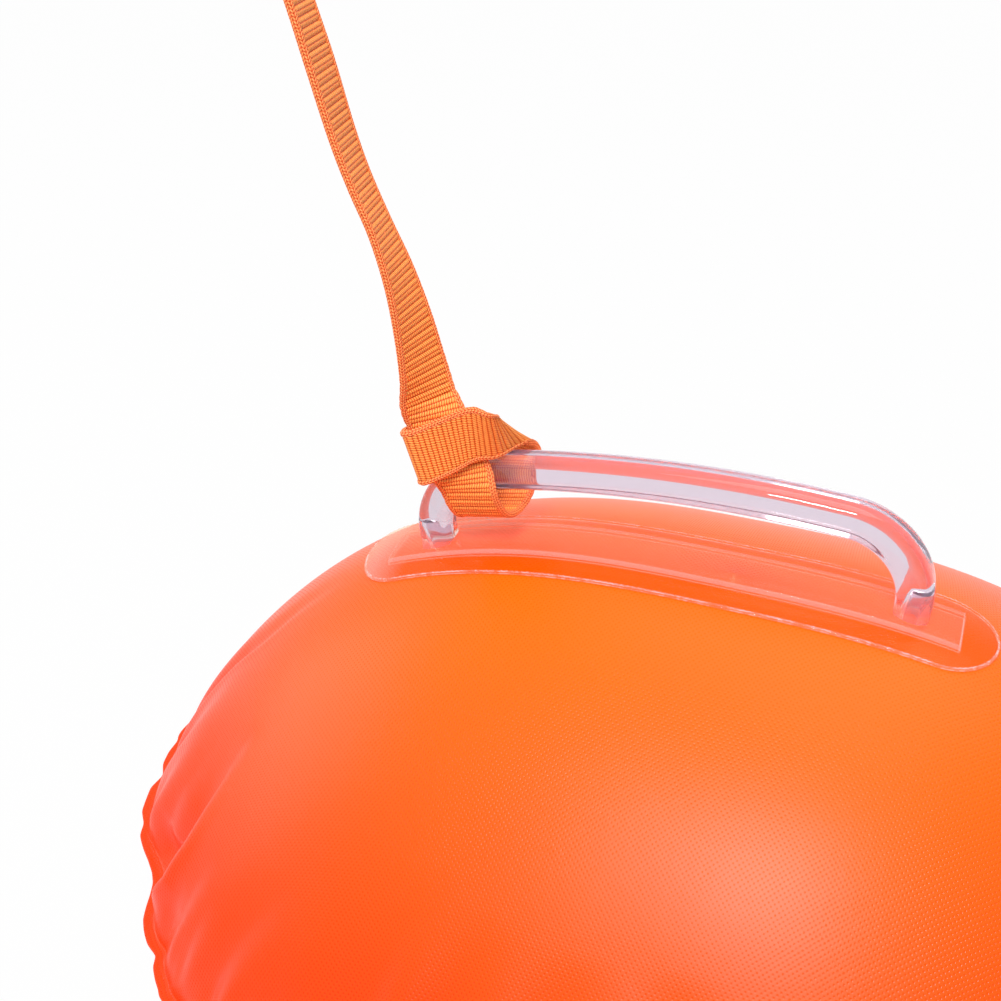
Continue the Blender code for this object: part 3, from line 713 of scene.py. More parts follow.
def face_out(piece: bpy.types.Object) -> bpy.types.Object:
    """Merges the doubles of a closed piece and turns its faces out by the sign of its volume.

    Args:
        piece: a closed piece.

    Returns:
        The same piece.
    """
    work = bmesh.new()
    work.from_mesh(piece.data)
    bmesh.ops.remove_doubles(work, verts=work.verts, dist=1e-6)
    bmesh.ops.dissolve_degenerate(work, edges=work.edges, dist=1e-7)
    bmesh.ops.recalc_face_normals(work, faces=work.faces)
    if work.calc_volume(signed=True) < 0:
        bmesh.ops.reverse_faces(work, faces=work.faces)
    work.to_mesh(piece.data)
    work.free()
    piece.data.update()
    return piece


def swept(name: str, grid: Array, uv: Array | None = None, closed: bool = False) -> bpy.types.Object:
    """Makes a closed piece of stations along a path by points round each of them.

    Args:
        name: the piece's name.
        grid: stations by points round by three.
        uv: one row of U and V per point, or none.
        closed: joins the last station to the first.

    Returns:
        The piece, with its doubles merged and its faces out.
    """
    quads = grid_quads(grid.shape[0], grid.shape[1], closed, True)
    return face_out(make_mesh(name, grid.reshape(-1, 3), quads, uv))


def crease(piece: bpy.types.Object, degrees: float = 35) -> bpy.types.Object:
    """Keeps edges sharper than an angle as hard lines in the shading."""
    piece.data.set_sharp_from_angle(angle=math.radians(degrees))
    return piece


def carried(points: Array, place: Array | Matrix) -> Array:
    """Carries points by a frame: each is turned by the frame's axes, then moved by its origin.

    Args:
        points: rows of X, Y and Z, in an array of any shape that ends in three.
        place: the frame as a 4x4.

    Returns:
        The carried points, in the same shape.
    """
    turn = np.array(place)
    return points @ turn[:3, :3].T + turn[:3, 3]


def turned_piece(name: str, profile: Array, place: Matrix, steps: int, closed: bool) -> bpy.types.Object:
    """Turns a profile round the local Z axis: X and Y are the radius times cosine and sine.

    Args:
        name: the piece's name.
        profile: rows of radius and height.
        place: the frame that the profile is in.
        steps: points round the axis.
        closed: joins the profile's last point to its first.

    Returns:
        The closed piece.
    """
    turns = np.linspace(0, 2 * math.pi, steps, endpoint=False)
    radius, height = profile[:, :1], profile[:, 1:]
    local = np.stack(np.broadcast_arrays(radius * np.cos(turns), radius * np.sin(turns), height), -1)
    return swept(name, carried(local, place), closed=closed)


def joined(name: str, pieces: Sequence[bpy.types.Object]) -> bpy.types.Object:
    """Joins closed pieces that don't share points into one piece.

    Args:
        name: the new piece's name.
        pieces: the pieces, which are taken out of the scene.

    Returns:
        The one piece.
    """
    work = bmesh.new()
    for piece in pieces:
        work.from_mesh(piece.data)
    whole = bpy.data.meshes.new(name)
    work.to_mesh(whole)
    work.free()
    for piece in pieces:
        bpy.data.objects.remove(piece, do_unlink=True)
    made = bpy.data.objects.new(name, whole)
    bpy.context.scene.collection.objects.link(made)
    return made


def bake_modifiers(piece: bpy.types.Object) -> None:
    """Puts the result of a piece's modifiers into its mesh.

    Args:
        piece: the piece, whose modifiers end up in its mesh.
    """
    bpy.context.view_layer.update()
    graph = bpy.context.evaluated_depsgraph_get()
    mesh = bpy.data.meshes.new_from_object(piece.evaluated_get(graph))
    piece.modifiers.clear()
    piece.data = mesh


def dress(
    piece: bpy.types.Object,
    material: bpy.types.Material,
    body: Body,
    nodes: Sequence[str] = (),
) -> bpy.types.Object:
    """Gives a piece its material and body, and hides the frame's nodes that it stands for.

    Args:
        piece: the finished piece.
        material: its material.
        body: the body that it rides on.
        nodes: the frame's nodes that it replaces.

    Returns:
        The piece.
    """
    if not piece.data.materials:
        piece.data.materials.append(material)
    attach(piece, body.value)
    if nodes:
        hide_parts(*nodes)
    LOG.info("%s: %d faces on %s", piece.name, len(piece.data.polygons), body.value)
    return piece


def smooth_path(stations: Array, steps: int) -> Array:
    """A Catmull-Rom curve through rows of numbers: each span is a cubic whose slope at a row is half the
    step from the row before it to the row after it.

    Args:
        stations: the rows that the curve passes through.
        steps: points per span.

    Returns:
        The rows of the curve.
    """
    rows = np.asarray(stations, float)
    padded = np.vstack([2 * rows[0] - rows[1], rows, 2 * rows[-1] - rows[-2]])
    before, here, there, after = (padded[i : len(padded) - 3 + i][:, None] for i in range(4))
    t = (np.arange(steps) / steps)[None, :, None]
    curve = 0.5 * (
        2 * here
        + (there - before) * t
        + (2 * before - 5 * here + 4 * there - after) * t**2
        + (3 * here - before - 3 * there + after) * t**3
    )
    return np.vstack([curve.reshape(-1, rows.shape[1]), rows[-1:]])


def resample(rows: Array, step: float) -> tuple[Array, Array]:
    """Rows of a curve at even steps along it.

    Args:
        rows: points in the first three columns, with any further numbers.
        step: the length between rows, in metres.

    Returns:
        The rows, and the length run at each of them.
    """
    run = np.concatenate([[0], np.cumsum(np.linalg.norm(np.diff(rows[:, :3], axis=0), axis=1))])
    even = np.linspace(0, run[-1], max(4, round(run[-1] / step)) + 1)
    return np.stack([np.interp(even, run, rows[:, k]) for k in range(rows.shape[1])], 1), even


def unit(rows: Array) -> Array:
    """Each row divided by its length."""
    return rows / np.maximum(np.linalg.norm(rows, axis=-1, keepdims=True), 1e-12)


# The float


@dataclass(frozen=True)
class Fold:
    """One gather of the skin at the seam.

    Its way is rows of the share run out to the seam and the share round it. The lean narrows the side
    towards a larger share round, and widens the other.
    """

    way: tuple[tuple[float, float], ...]
    depth: float
    width: float
    lean: float = 0.0


SEEN_FOLDS: tuple[Fold, ...] = (
    Fold(
        ((0.30, 0.5150), (0.39, 0.5180), (0.46, 0.5212), (0.52, 0.5226), (0.62, 0.5200), (1, 0.5180)),
        6 * MM,
        4.5 * MM,
        0.2,
    ),
    Fold(((0.62, 0.5380), (0.80, 0.5350), (1, 0.5315)), 3.0 * MM, 6 * MM, 0.3),
    Fold(((0.72, 0.5520), (1, 0.5510)), 2.0 * MM, 5 * MM),
    Fold(((0.60, 0.5640), (0.80, 0.5660), (1, 0.5690)), 3.2 * MM, 7 * MM, 0.2),
    Fold(
        ((0.52, 0.5810), (0.62, 0.5820), (0.72, 0.5850), (0.80, 0.5878), (0.90, 0.5880), (1, 0.5800)),
        15 * MM,
        10 * MM,
        0.55,
    ),
    Fold(((0.85, 0.6035), (1, 0.6010)), 2.2 * MM, 4 * MM),
    Fold(((0.74, 0.6110), (0.90, 0.6100), (1, 0.6080)), 3.6 * MM, 5 * MM, 0.3),
    Fold(((0.80, 0.6215), (1, 0.6205)), 3.0 * MM, 5 * MM, 0.3),
    Fold(((0.66, 0.6420), (0.80, 0.6390), (1, 0.6350)), 3.6 * MM, 7 * MM, 0.3),
    Fold(((0.74, 0.6680), (1, 0.6610)), 3.2 * MM, 7 * MM, 0.3),
)
SEEN_EDGE: tuple[tuple[float, float], ...] = (
    (0.5145, 2.5 * MM),
    (0.5206, 3.6 * MM),
    (0.5263, 3.5 * MM),
    (0.5315, 1.3 * MM),
    (0.5374, 4.2 * MM),
    (0.5425, 4.4 * MM),
    (0.5477, 4.6 * MM),
    (0.5528, 2.6 * MM),
    (0.5578, 3.2 * MM),
    (0.5627, 1.3 * MM),
    (0.5676, -1.0 * MM),
    (0.5726, -2.7 * MM),
    (0.5773, -3.1 * MM),
    (0.5821, -1.8 * MM),
    (0.5867, 0.0 * MM),
    (0.5911, 1.5 * MM),
    (0.5957, 1.9 * MM),
    (0.6001, 1.7 * MM),
    (0.6050, -0.1 * MM),
    (0.6090, 2.1 * MM),
    (0.6135, 2.9 * MM),
    (0.6178, 3.2 * MM),
)


@dataclass
class InflatedFloat:
    """The two skins, the chamber wall and their weld."""

    half_length: float = 215 * MM
    half_width: float = 163 * MM
    half_height: float = 128 * MM
    length_power: float = 2.8
    width_power: float = 1.8
    crown_power: float = 0.85
    side_power: float = 0.57
    seam_height: float = 124 * MM
    skin: float = 0.6 * MM
    weld_width: float = 4 * MM
    columns: int = 640
    levels: int = 70
    valve_hole: float = 8.8 * MM
    rest_level: float = 0.75 * MM
    fold_seed: int = 11
    weld_rows: tuple[tuple[float, float], ...] = (
        (0.15, 0.62 * MM),
        (0.35, 0.46 * MM),
        (0.6, 0.42 * MM),
        (0.9, 0.4 * MM),
        (1.0, 0.34 * MM),
    )

    def height(self, x: Array, y: Array) -> Array:
        """Height of the skin over the seam plane.

        It is the half height times one less the share run out to the seam, to a power that falls from the
        crown's to the side's towards the long sides.

        Args:
            x: places along the float.
            y: places across it.

        Returns:
            Heights, zero on the seam.
        """
        aside = np.abs(y / self.half_width) ** self.width_power
        share = np.clip(np.abs(x / self.half_length) ** self.length_power + aside, 0, 1)
        power = self.crown_power + (self.side_power - self.crown_power) * aside * share
        return self.half_height * (1 - share) ** power

    @property
    def girth(self) -> float:
        """Length of the seam."""
        return float(self.outline()[2][-1])

    def outline(self) -> tuple[Array, Array, Array]:
        """Points of the seam, a superellipse with one power per axis, and the length run along it.

        Returns:
            X, Y and the length run, one value per point.
        """
        turns = np.linspace(0, 2 * math.pi, 24001)
        cosine, sine = np.cos(turns), np.sin(turns)
        x = self.half_length * np.sign(cosine) * np.abs(cosine) ** (2 / self.length_power)
        y = self.half_width * np.sign(sine) * np.abs(sine) ** (2 / self.width_power)
        return x, y, np.concatenate([[0], np.cumsum(np.hypot(np.diff(x), np.diff(y)))])

    def places(self) -> Array:
        """Shares round the seam of the columns of points, about three times as close at the gathered end.

        The closeness is one plus a flat-topped bell, and the places are even steps of its running sum.

        Returns:
            One share from 0 to 1 per column.
        """
        fine = np.linspace(0, 1, 4001)
        close = 1 + 2.2 * np.exp(-(((fine - 0.585) / 0.07) ** 4))
        run = np.concatenate([[0], np.cumsum((close[1:] + close[:-1]) / 2)])
        return np.interp(np.arange(self.columns) / self.columns, run / run[-1], fine)

    def all_folds(self, side: int) -> list[Fold]:
        """The folds in view, then more like them round the rest of the seam, in seeded places.

        Args:
            side: 1 for the upper skin, -1 for the lower.

        Returns:
            The folds, those in view first.
        """
        chance = np.random.default_rng(self.fold_seed)
        found = list(SEEN_FOLDS)
        first, last = SEEN_FOLDS[0].way[-1][1], SEEN_FOLDS[-1].way[-1][1]
        place = last + 0.026
        while place < 1 + first - 0.02:
            large = chance.random() < 0.35
            depth = (5.0 + 2.5 * chance.random() if large else 2.4 + 1.6 * chance.random()) * MM
            width = (7 + 2 * chance.random() if large else 4.5 + 2 * chance.random()) * MM
            start = 0.5 + 0.1 * chance.random() if large else 0.68 + 0.14 * chance.random()
            drift = 0.012 * (chance.random() - 0.5)
            lean = 0.8 * (chance.random() - 0.5)
            way = ((start + 0.02 * (side < 0), place + drift), (0.85, place + drift * 0.3), (1, place))
            found.append(Fold(way, depth, width, lean))
            place += 0.013 + 0.016 * chance.random() + 0.006 * large
        return found

    def edge(self) -> Array:
        """How far the weld's outer edge stands out of the nominal seam, at each column.

        In view it follows a table. Elsewhere it is a level less a bell at each fold's foot. It is then
        smoothed by a running mean with bell weights.

        Returns:
            One distance per column.
        """
        fine = np.arange(4000) / 4000
        level = np.full(4000, 3.2 * MM)
        for fold in self.all_folds(1)[len(SEEN_FOLDS) :]:
            offset = ((fine - fold.way[-1][1] + 0.5) % 1 - 0.5) * self.girth
            level -= (1.6 * MM + 0.5 * fold.depth) * np.exp(-((offset / (0.6 * fold.width)) ** 2))
        level += 0.5 * MM * np.sin(2 * math.pi * 83 * fine + 2 * np.sin(2 * math.pi * 9 * fine))
        seen = np.array(SEEN_EDGE)
        inside = (fine >= seen[0, 0]) & (fine <= seen[-1, 0])
        level[inside] = np.interp(fine[inside], seen[:, 0], seen[:, 1])
        weight = np.exp(-((np.arange(-12, 13) / 4.5) ** 2))
        wrapped = np.concatenate([level[-12:], level, level[:12]])
        smooth = np.convolve(wrapped, weight / weight.sum(), "valid")
        return np.interp(self.places(), fine, smooth)

    def gathered(self, share: Array, side: int) -> Array:
        """Depth of the folds on the grid of levels by places round the seam.

        Each fold is a bell across its way, less a lower bell on each side of it, times a smooth rise from its
        start. It fades again at the weld, which is drawn in by itself.

        Args:
            share: the share run out to the seam at each level.
            side: 1 for the upper skin and -1 for the lower.

        Returns:
            Depths in metres, one row per level.
        """
        places = self.places()[None]
        depth = np.zeros((len(share), self.columns))
        fade = (1 - np.clip((share - 0.93) / 0.07, 0, 1) ** 2)[:, None]
        for fold in self.all_folds(side):
            out, way = np.array(fold.way).T
            centre = np.interp(share, out, way)[:, None]
            rise = np.clip((share - out[0]) / (1 - out[0]), 0, 1)[:, None]
            offset = ((places - centre + 0.5) % 1 - 0.5) * self.girth
            width = fold.width * (1.6 - 0.6 * rise) * np.where(offset > 0, 1 - fold.lean, 1 + fold.lean)
            bell = np.exp(-((offset / width) ** 2))
            swell = np.exp(-(((np.abs(offset) / width - 1.9) / 0.9) ** 2))
            depth += fold.depth * rise**1.2 * fade * (bell - 0.18 * swell)
        return depth

    def surface(self, side: int) -> tuple[Array, Array]:
        """Points of one skin from crown to seam, then out over the weld, with their cloth coordinates.

        A level is a share of the way out: the seam's X and Y are scaled by the share to one over each
        power, which keeps every level similar to the seam. Folds press the point in along its normal.

        Args:
            side: 1 for the upper skin and -1 for the lower.

        Returns:
            The points as levels by places by three, and their U and V.
        """
        x_way, y_way, run = self.outline()
        places, edge = self.places(), self.edge()
        seam_x = np.interp(places * run[-1], run, x_way)
        seam_y = np.interp(places * run[-1], run, y_way)
        share = np.concatenate([[0.0], 1 - (1 - np.linspace(0.02, 1, self.levels) ** 1.25) ** 1.7])
        x = seam_x[None] * share[:, None] ** (1 / self.length_power)
        y = seam_y[None] * share[:, None] ** (1 / self.width_power)
        z = self.height(x, y)
        points = np.stack([x, y, z], -1)
        along = np.gradient(points, axis=0)
        round_way = np.roll(points, -1, 1) - np.roll(points, 1, 1)
        normal = unit(np.cross(along, round_way))
        normal[0] = (0, 0, 1)
        lean = np.clip((share - 0.9) / 0.1, 0, 1)[:, None, None]
        outward = unit(np.stack([x, y, 0 * z], -1))
        normal = unit(normal * (1 - lean) + outward * lean)
        depth = self.gathered(share, side)
        drawn = np.clip((share - 0.8) / 0.2, 0, 1)[:, None] ** 2 * (self.weld_width - edge)[None]
        points = points - normal * (depth + drawn)[..., None]
        points[..., 2] = np.maximum(points[..., 2], self.rest_level)
        if side < 0:
            points[..., 2] = np.minimum(points[..., 2], self.seam_height)
        root = points[-1:, :, :2]
        out = unit(root)
        flange = []
        for reach, level in self.weld_rows:
            ring = root + out * (reach * self.weld_width)
            flange.append(np.concatenate([ring, np.full_like(ring[..., :1], level)], -1))
        points = np.concatenate([points, *flange])
        uv = points[..., :2].copy()
        fall = np.cumsum(np.linalg.norm(np.diff(points, axis=0, prepend=points[:1]), axis=-1), 0)
        flat = np.hypot(points[..., 0], points[..., 1])
        uv *= (fall / np.maximum(flat, 1e-6))[..., None]
        uv[0] = 0
        points[..., 2] = self.seam_height + side * points[..., 2]
        return points, uv

    def skin_piece(self, side: int, name: str, place: Matrix) -> bpy.types.Object:
        """Builds one skin as a thin closed shell, with the round hole that its valve's collar passes.

        Faces within the hole are left out, and the points round it are moved onto its circle.

        Args:
            side: 1 for the upper skin and -1 for the lower.
            name: the piece's name.
            place: the valve's frame.

        Returns:
            The skin.
        """
        points, uv = self.surface(side)
        levels = len(points)
        flat = points.reshape(-1, 3)
        quads = grid_quads(levels, self.columns, False, True)
        local = carried(flat, place.inverted())
        reach = np.hypot(local[:, 0], local[:, 1])
        near = np.abs(local[:, 2]) < 20 * MM
        inside = near & (reach < self.valve_hole)
        keep = ~inside[quads].any(1)
        rim = np.unique(quads[~keep & ~inside[quads].all(1)].ravel())
        rim = rim[~inside[rim]]
        local[rim, :2] *= (self.valve_hole / reach[rim])[:, None]
        flat[rim] = carried(local[rim], place)
        if side < 0:
            quads = quads[:, ::-1]
        made = make_mesh(name, flat, quads[keep], uv.reshape(-1, 2))
        # The grid runs outwards, so its own normals point in and are turned before the wall is added
        made.data.flip_normals()
        shell = made.modifiers.new("skin", "SOLIDIFY")
        shell.thickness = self.skin * 0.5
        shell.offset = -1
        return made

    def wall_piece(self) -> bpy.types.Object:
        """Builds the chamber wall, a thin closed disc whose edge is caught in the weld.

        Returns:
            The film wall.
        """
        points, _ = self.surface(1)
        edge = points[-1].copy()
        edge[:, 2] = self.seam_height
        middle = np.array([0, 0, self.seam_height])
        rim = middle + (edge - middle) * (1 - 0.6 * MM / np.linalg.norm(edge - middle, axis=1))[:, None]
        shares = np.array([0.002, 0.2, 0.5, 0.8, 0.98, 1, 1, 0.98, 0.8, 0.5, 0.2, 0.002])
        lifts = np.array([1.0] * 6 + [-1.0] * 6) * 0.15 * MM
        grid = middle + (rim - middle)[None] * shares[:, None, None]
        grid[..., 2] += lifts[:, None]
        return swept("chamber_wall_film", grid)

    def build(self, valves: Mapping[int, Matrix]) -> None:
        """Builds and dresses the skins and the wall.

        Args:
            valves: the frame of each side's valve, where the skin gets its hole.
        """
        nylon = CoatedNylon().build()
        film = PolymerFilm().build()
        for side, word in ((1, "upper"), (-1, "lower")):
            piece = self.skin_piece(side, f"{word}_skin", valves[side])
            dress(piece, nylon, Body.BUOY, [f"{word}_panel"])
        dress(self.wall_piece(), film, Body.BUOY, ["chamber_wall"])


# The handle


@dataclass
class HandleArc:
    """The arc in the XZ plane that the base of the handle follows."""

    centre_x: float = 4.751334 * MM
    centre_z: float = -143.235667 * MM
    radius: float = 396.045988 * MM
    middle: float = -0.07265987

    def at(self, run: Array, height: Array) -> tuple[Array, Array]:
        """World X and Z at a run along the arc and a height over it.

        Args:
            run: distance along the arc from its middle.
            height: distance outside the arc.

        Returns:
            X and Z of the points.
        """
        turn = self.middle + run / self.radius
        reach = self.radius + height
        return self.centre_x + reach * np.sin(turn), self.centre_z + reach * np.cos(turn)


@dataclass
class CarryHandle:
    """The clear moulding: an oval base with a raised strip, two legs and a grip."""

    body: InflatedFloat
    arc: HandleArc = field(default_factory=HandleArc)
    offset: float = -24 * MM
    span: float = 172 * MM
    base_length: float = 216 * MM
    base_width: float = 37 * MM
    base_thickness: float = 1.0 * MM
    strip_length: float = 192 * MM
    strip_width: float = 18 * MM
    strip_height: float = 1.5 * MM
    grip_height: float = 29.5 * MM
    grip_tall: float = 11.5 * MM
    grip_deep: float = 12 * MM
    grip_power: float = 3.6
    grip_bend: float = 23 * MM
    grip_lean: float = 3 * MM
    foot_deep: float = 15 * MM
    foot_height: float = 4.5 * MM
    lift: float = 6 * MM
    lift_length: float = 38 * MM
    gap: float = 0.3 * MM
    knurl_pitch: float = 1.8 * MM
    knurl_height: float = 0.2 * MM
    core_profile: tuple[tuple[float, float], ...] = (
        (0, -4 * MM),
        (3.4 * MM, -4 * MM),
        (3.3 * MM, 10 * MM),
        (2.9 * MM, 11.4 * MM),
        (1.6 * MM, 12 * MM),
        (0, 12 * MM),
    )

    def over_skin(self, run: Array, across: Array, rise: Array) -> Array:
        """Points at a run and a place across, a rise over the skin.

        The left end stands off the skin: the lift grows with the square of the share run out to the tip,
        and from nothing at the front edge to its full height at the back one.

        Args:
            run: X from the handle's middle.
            across: Y.
            rise: height over the skin.

        Returns:
            The points, in an array that ends in three.
        """
        x = self.offset + run
        share = np.clip(1 - (self.base_length / 2 + run) / self.lift_length, 0, 1)
        lift = self.lift * share**2 * (0.5 + across / self.base_width)
        z = self.body.seam_height + self.body.height(x, across) + lift + rise
        return np.stack(np.broadcast_arrays(x, across, z), -1)

    def base_piece(self) -> bpy.types.Object:
        """Builds the oval base as a closed sheet.

        A point is a place on the straight spine plus a share of the half width in its own direction; the
        profile runs along the underside, over the knurled weld line on the edge and in over the top.

        Returns:
            The oval base with its knurled bead.
        """
        count = 720
        half = self.base_width / 2
        spine = self.base_length / 2 - half
        turns = np.linspace(0, 2 * math.pi, count, endpoint=False)
        straight = 2 * spine
        girth = 2 * straight + 2 * math.pi * half
        run = turns / (2 * math.pi) * girth
        bow = math.pi * half
        legs = [run < straight, run < straight + bow, run < 2 * straight + bow]
        spot_x = np.select(
            legs, [run - spine, np.full_like(run, spine), spine - (run - straight - bow)], -spine
        )
        angle = np.select(
            legs,
            [
                np.full_like(run, -math.pi / 2),
                -math.pi / 2 + (run - straight) / half,
                np.full_like(run, math.pi / 2),
            ],
            math.pi / 2 + (run - 2 * straight - bow) / half,
        )
        t = self.base_thickness
        rows = [(0.02 * MM, 0), (half * 0.4, 0), (half * 0.8, 0), (half - 0.3 * MM, 0)]
        rows += [(half, 0.3 * MM), (half, t * 0.6), (half - 0.2 * MM, t * 0.85), (half - 0.45 * MM, t)]
        rows += [(half - 0.8 * MM, t), (half - 1.1 * MM, t * 0.86), (half - 1.4 * MM, t * 0.8)]
        rows += [(half - 2.4 * MM, t * 0.85), (half - 3 * MM, t)]
        rows += [(half * 0.5, t), (half * 0.3, t), (0.02 * MM, t)]
        reach = np.array([r for r, _ in rows])[:, None]
        rise = np.array([h for _, h in rows])[:, None] + self.gap
        knurl = np.zeros((len(rows), 1))
        knurl[7:9] = self.knurl_height
        rise = rise + knurl * np.cos(2 * math.pi * run / self.knurl_pitch)[None]
        points = self.over_skin(spot_x + reach * np.cos(angle), reach * np.sin(angle), rise)
        return swept("handle_base", points)

    def strip_piece(self) -> bpy.types.Object:
        """Builds the raised strip: a rounded section carried along the base, closed at its square ends.

        Returns:
            The raised strip.
        """
        half, tall = self.strip_width / 2, self.base_thickness + self.strip_height
        low = self.base_thickness * 0.5
        section = [(-half, low), (-half, tall - 0.5 * MM), (-half + 0.15 * MM, tall - 0.15 * MM)]
        section += [(-half + 0.5 * MM, tall)]
        section += [(half * s, tall) for s in (-0.6, -0.2, 0.2, 0.6)]
        section += [(-a, h) for a, h in reversed(section[:4])]
        section += [(half * s, low) for s in (0.6, 0.2, -0.2, -0.6)]
        across = np.array([a for a, _ in section])
        rise = np.array([h for _, h in section]) + self.gap
        runs = np.linspace(-self.strip_length / 2, self.strip_length / 2, 97)
        inset = 0.01 * MM
        runs = np.concatenate([runs[:1], runs[:1] + inset, runs[1:-1], runs[-1:] - inset, runs[-1:]])
        shrink = np.ones(len(runs))
        shrink[[0, -1]] = 0.0
        runs[0], runs[-1] = runs[1], runs[-2]
        middle = rise.mean()
        grid = self.over_skin(
            runs[:, None], across[None] * shrink[:, None], middle + (rise - middle)[None] * shrink[:, None]
        )
        return swept("handle_strip", grid)

    def section(self, deep: Array, count: int = 40) -> tuple[Array, Array]:
        """Rounded section of the grip: a superellipse, a little wider at the top.

        Args:
            deep: the grip's depth at each station.
            count: points round the section.

        Returns:
            Offsets across and up, as stations by points.
        """
        turns = np.linspace(0, 2 * math.pi, count, endpoint=False) + math.pi / count
        cosine, sine = np.cos(turns), np.sin(turns)
        power = 2 / self.grip_power
        across = np.sign(cosine) * np.abs(cosine) ** power
        up = np.sign(sine) * np.abs(sine) ** power
        across = across * (1 + 0.04 * up)
        return across[None] * deep[:, None] / 2, np.broadcast_to(up * self.grip_tall / 2, (len(deep), count))

    def stations(self) -> Array:
        """Stations of the bar from foot to foot: run, height, lean in radians and depth.

        Returns:
            One row per station.
        """
        foot = (self.span - self.grip_tall) / 2
        sunk = self.gap + self.base_thickness / 2
        rise = np.linspace(sunk, self.grip_height - self.grip_bend, 9)
        flare = np.clip(1 - (rise - sunk) / (self.foot_height - sunk), 0, 1) ** 1.5
        deep = self.grip_deep + (self.foot_deep - self.grip_deep) * flare
        leg = np.stack([np.full(9, -foot), rise, np.full(9, math.pi / 2), deep], 1)
        turn = np.linspace(0, math.pi / 2, 25)[1:]
        bend = np.stack(
            [
                -foot + self.grip_bend * (1 - np.cos(turn)),
                self.grip_height - self.grip_bend + self.grip_bend * np.sin(turn),
                math.pi / 2 - turn,
                np.full(24, self.grip_deep),
            ],
            1,
        )
        side = np.vstack([leg, bend])
        flat = foot - self.grip_bend
        runs = np.linspace(-flat, flat, 42)[1:-1]
        level = np.stack(
            [runs, np.full(40, self.grip_height), np.zeros(40), np.full(40, self.grip_deep)], 1
        )
        other = side[::-1] * np.array([-1, 1, -1, 1])
        rows = np.vstack([side, level, other])
        rows[:, 0] -= self.grip_lean * rows[:, 1] / self.grip_height * rows[:, 0] / foot
        return rows

    def bar_piece(self) -> bpy.types.Object:
        """Builds the legs and the grip: the section carried along the stations, closed at both feet.

        Returns:
            The bar, closed at both ends.
        """
        rows = self.stations()
        across, up = self.section(rows[:, 3])
        lean = rows[:, 2:3]
        x, z = self.arc.at(rows[:, :1] - up * np.sin(lean), rows[:, 1:2] + up * np.cos(lean))
        grid = np.stack([x, across, z], -1)
        ends = []
        for ring in (grid[:1], grid[-1:]):
            middle = ring.mean(1, keepdims=True)
            ends.append(middle + (ring - middle) * 1e-4)
        grid = np.concatenate([ends[0], grid, ends[1]])
        return swept("handle_bar", grid)

    def core_pin(self, side: int) -> bpy.types.Object:
        """Builds the pin that leaves the blind core hole under a foot, with a rounded tip.

        Args:
            side: -1 for the left leg, 1 for the right.

        Returns:
            The pin, which is cut out of the leg.
        """
        run = side * (self.span - self.grip_tall) / 2
        x, z = self.arc.at(np.array(run), np.array(0.0))
        turn = self.arc.middle + run / self.arc.radius
        place = Matrix.Translation((float(x), 0, float(z))) @ Matrix.Rotation(turn, 4, "Y")
        return turned_piece("core_pin", np.array(self.core_profile), place, 48, closed=False)

    def build(self) -> None:
        """Joins the base, strip and bar into one moulding, and cuts the core holes."""
        sheet, vinyl = WeldedSheet().build(), ClearVinyl().build()
        base = self.base_piece()
        base.data.materials.append(sheet)
        others = [(self.strip_piece(), Join.ADD, sheet), (self.bar_piece(), Join.ADD, vinyl)]
        others += [(self.core_pin(side), Join.CUT, vinyl) for side in (-1, 1)]
        for other, operation, material in others:
            other.data.materials.append(material)
            step = base.modifiers.new("join", "BOOLEAN")
            step.operation, step.solver, step.object = operation.value, "EXACT", other
            step.material_mode = "TRANSFER"
        bake_modifiers(base)
        for other, _, _ in others:
            bpy.data.objects.remove(other, do_unlink=True)
        base.name = "clear_handle"
        crease(base, 40)
        dress(base, vinyl, Body.BUOY, ["carry_handle"])


# The mouth valves


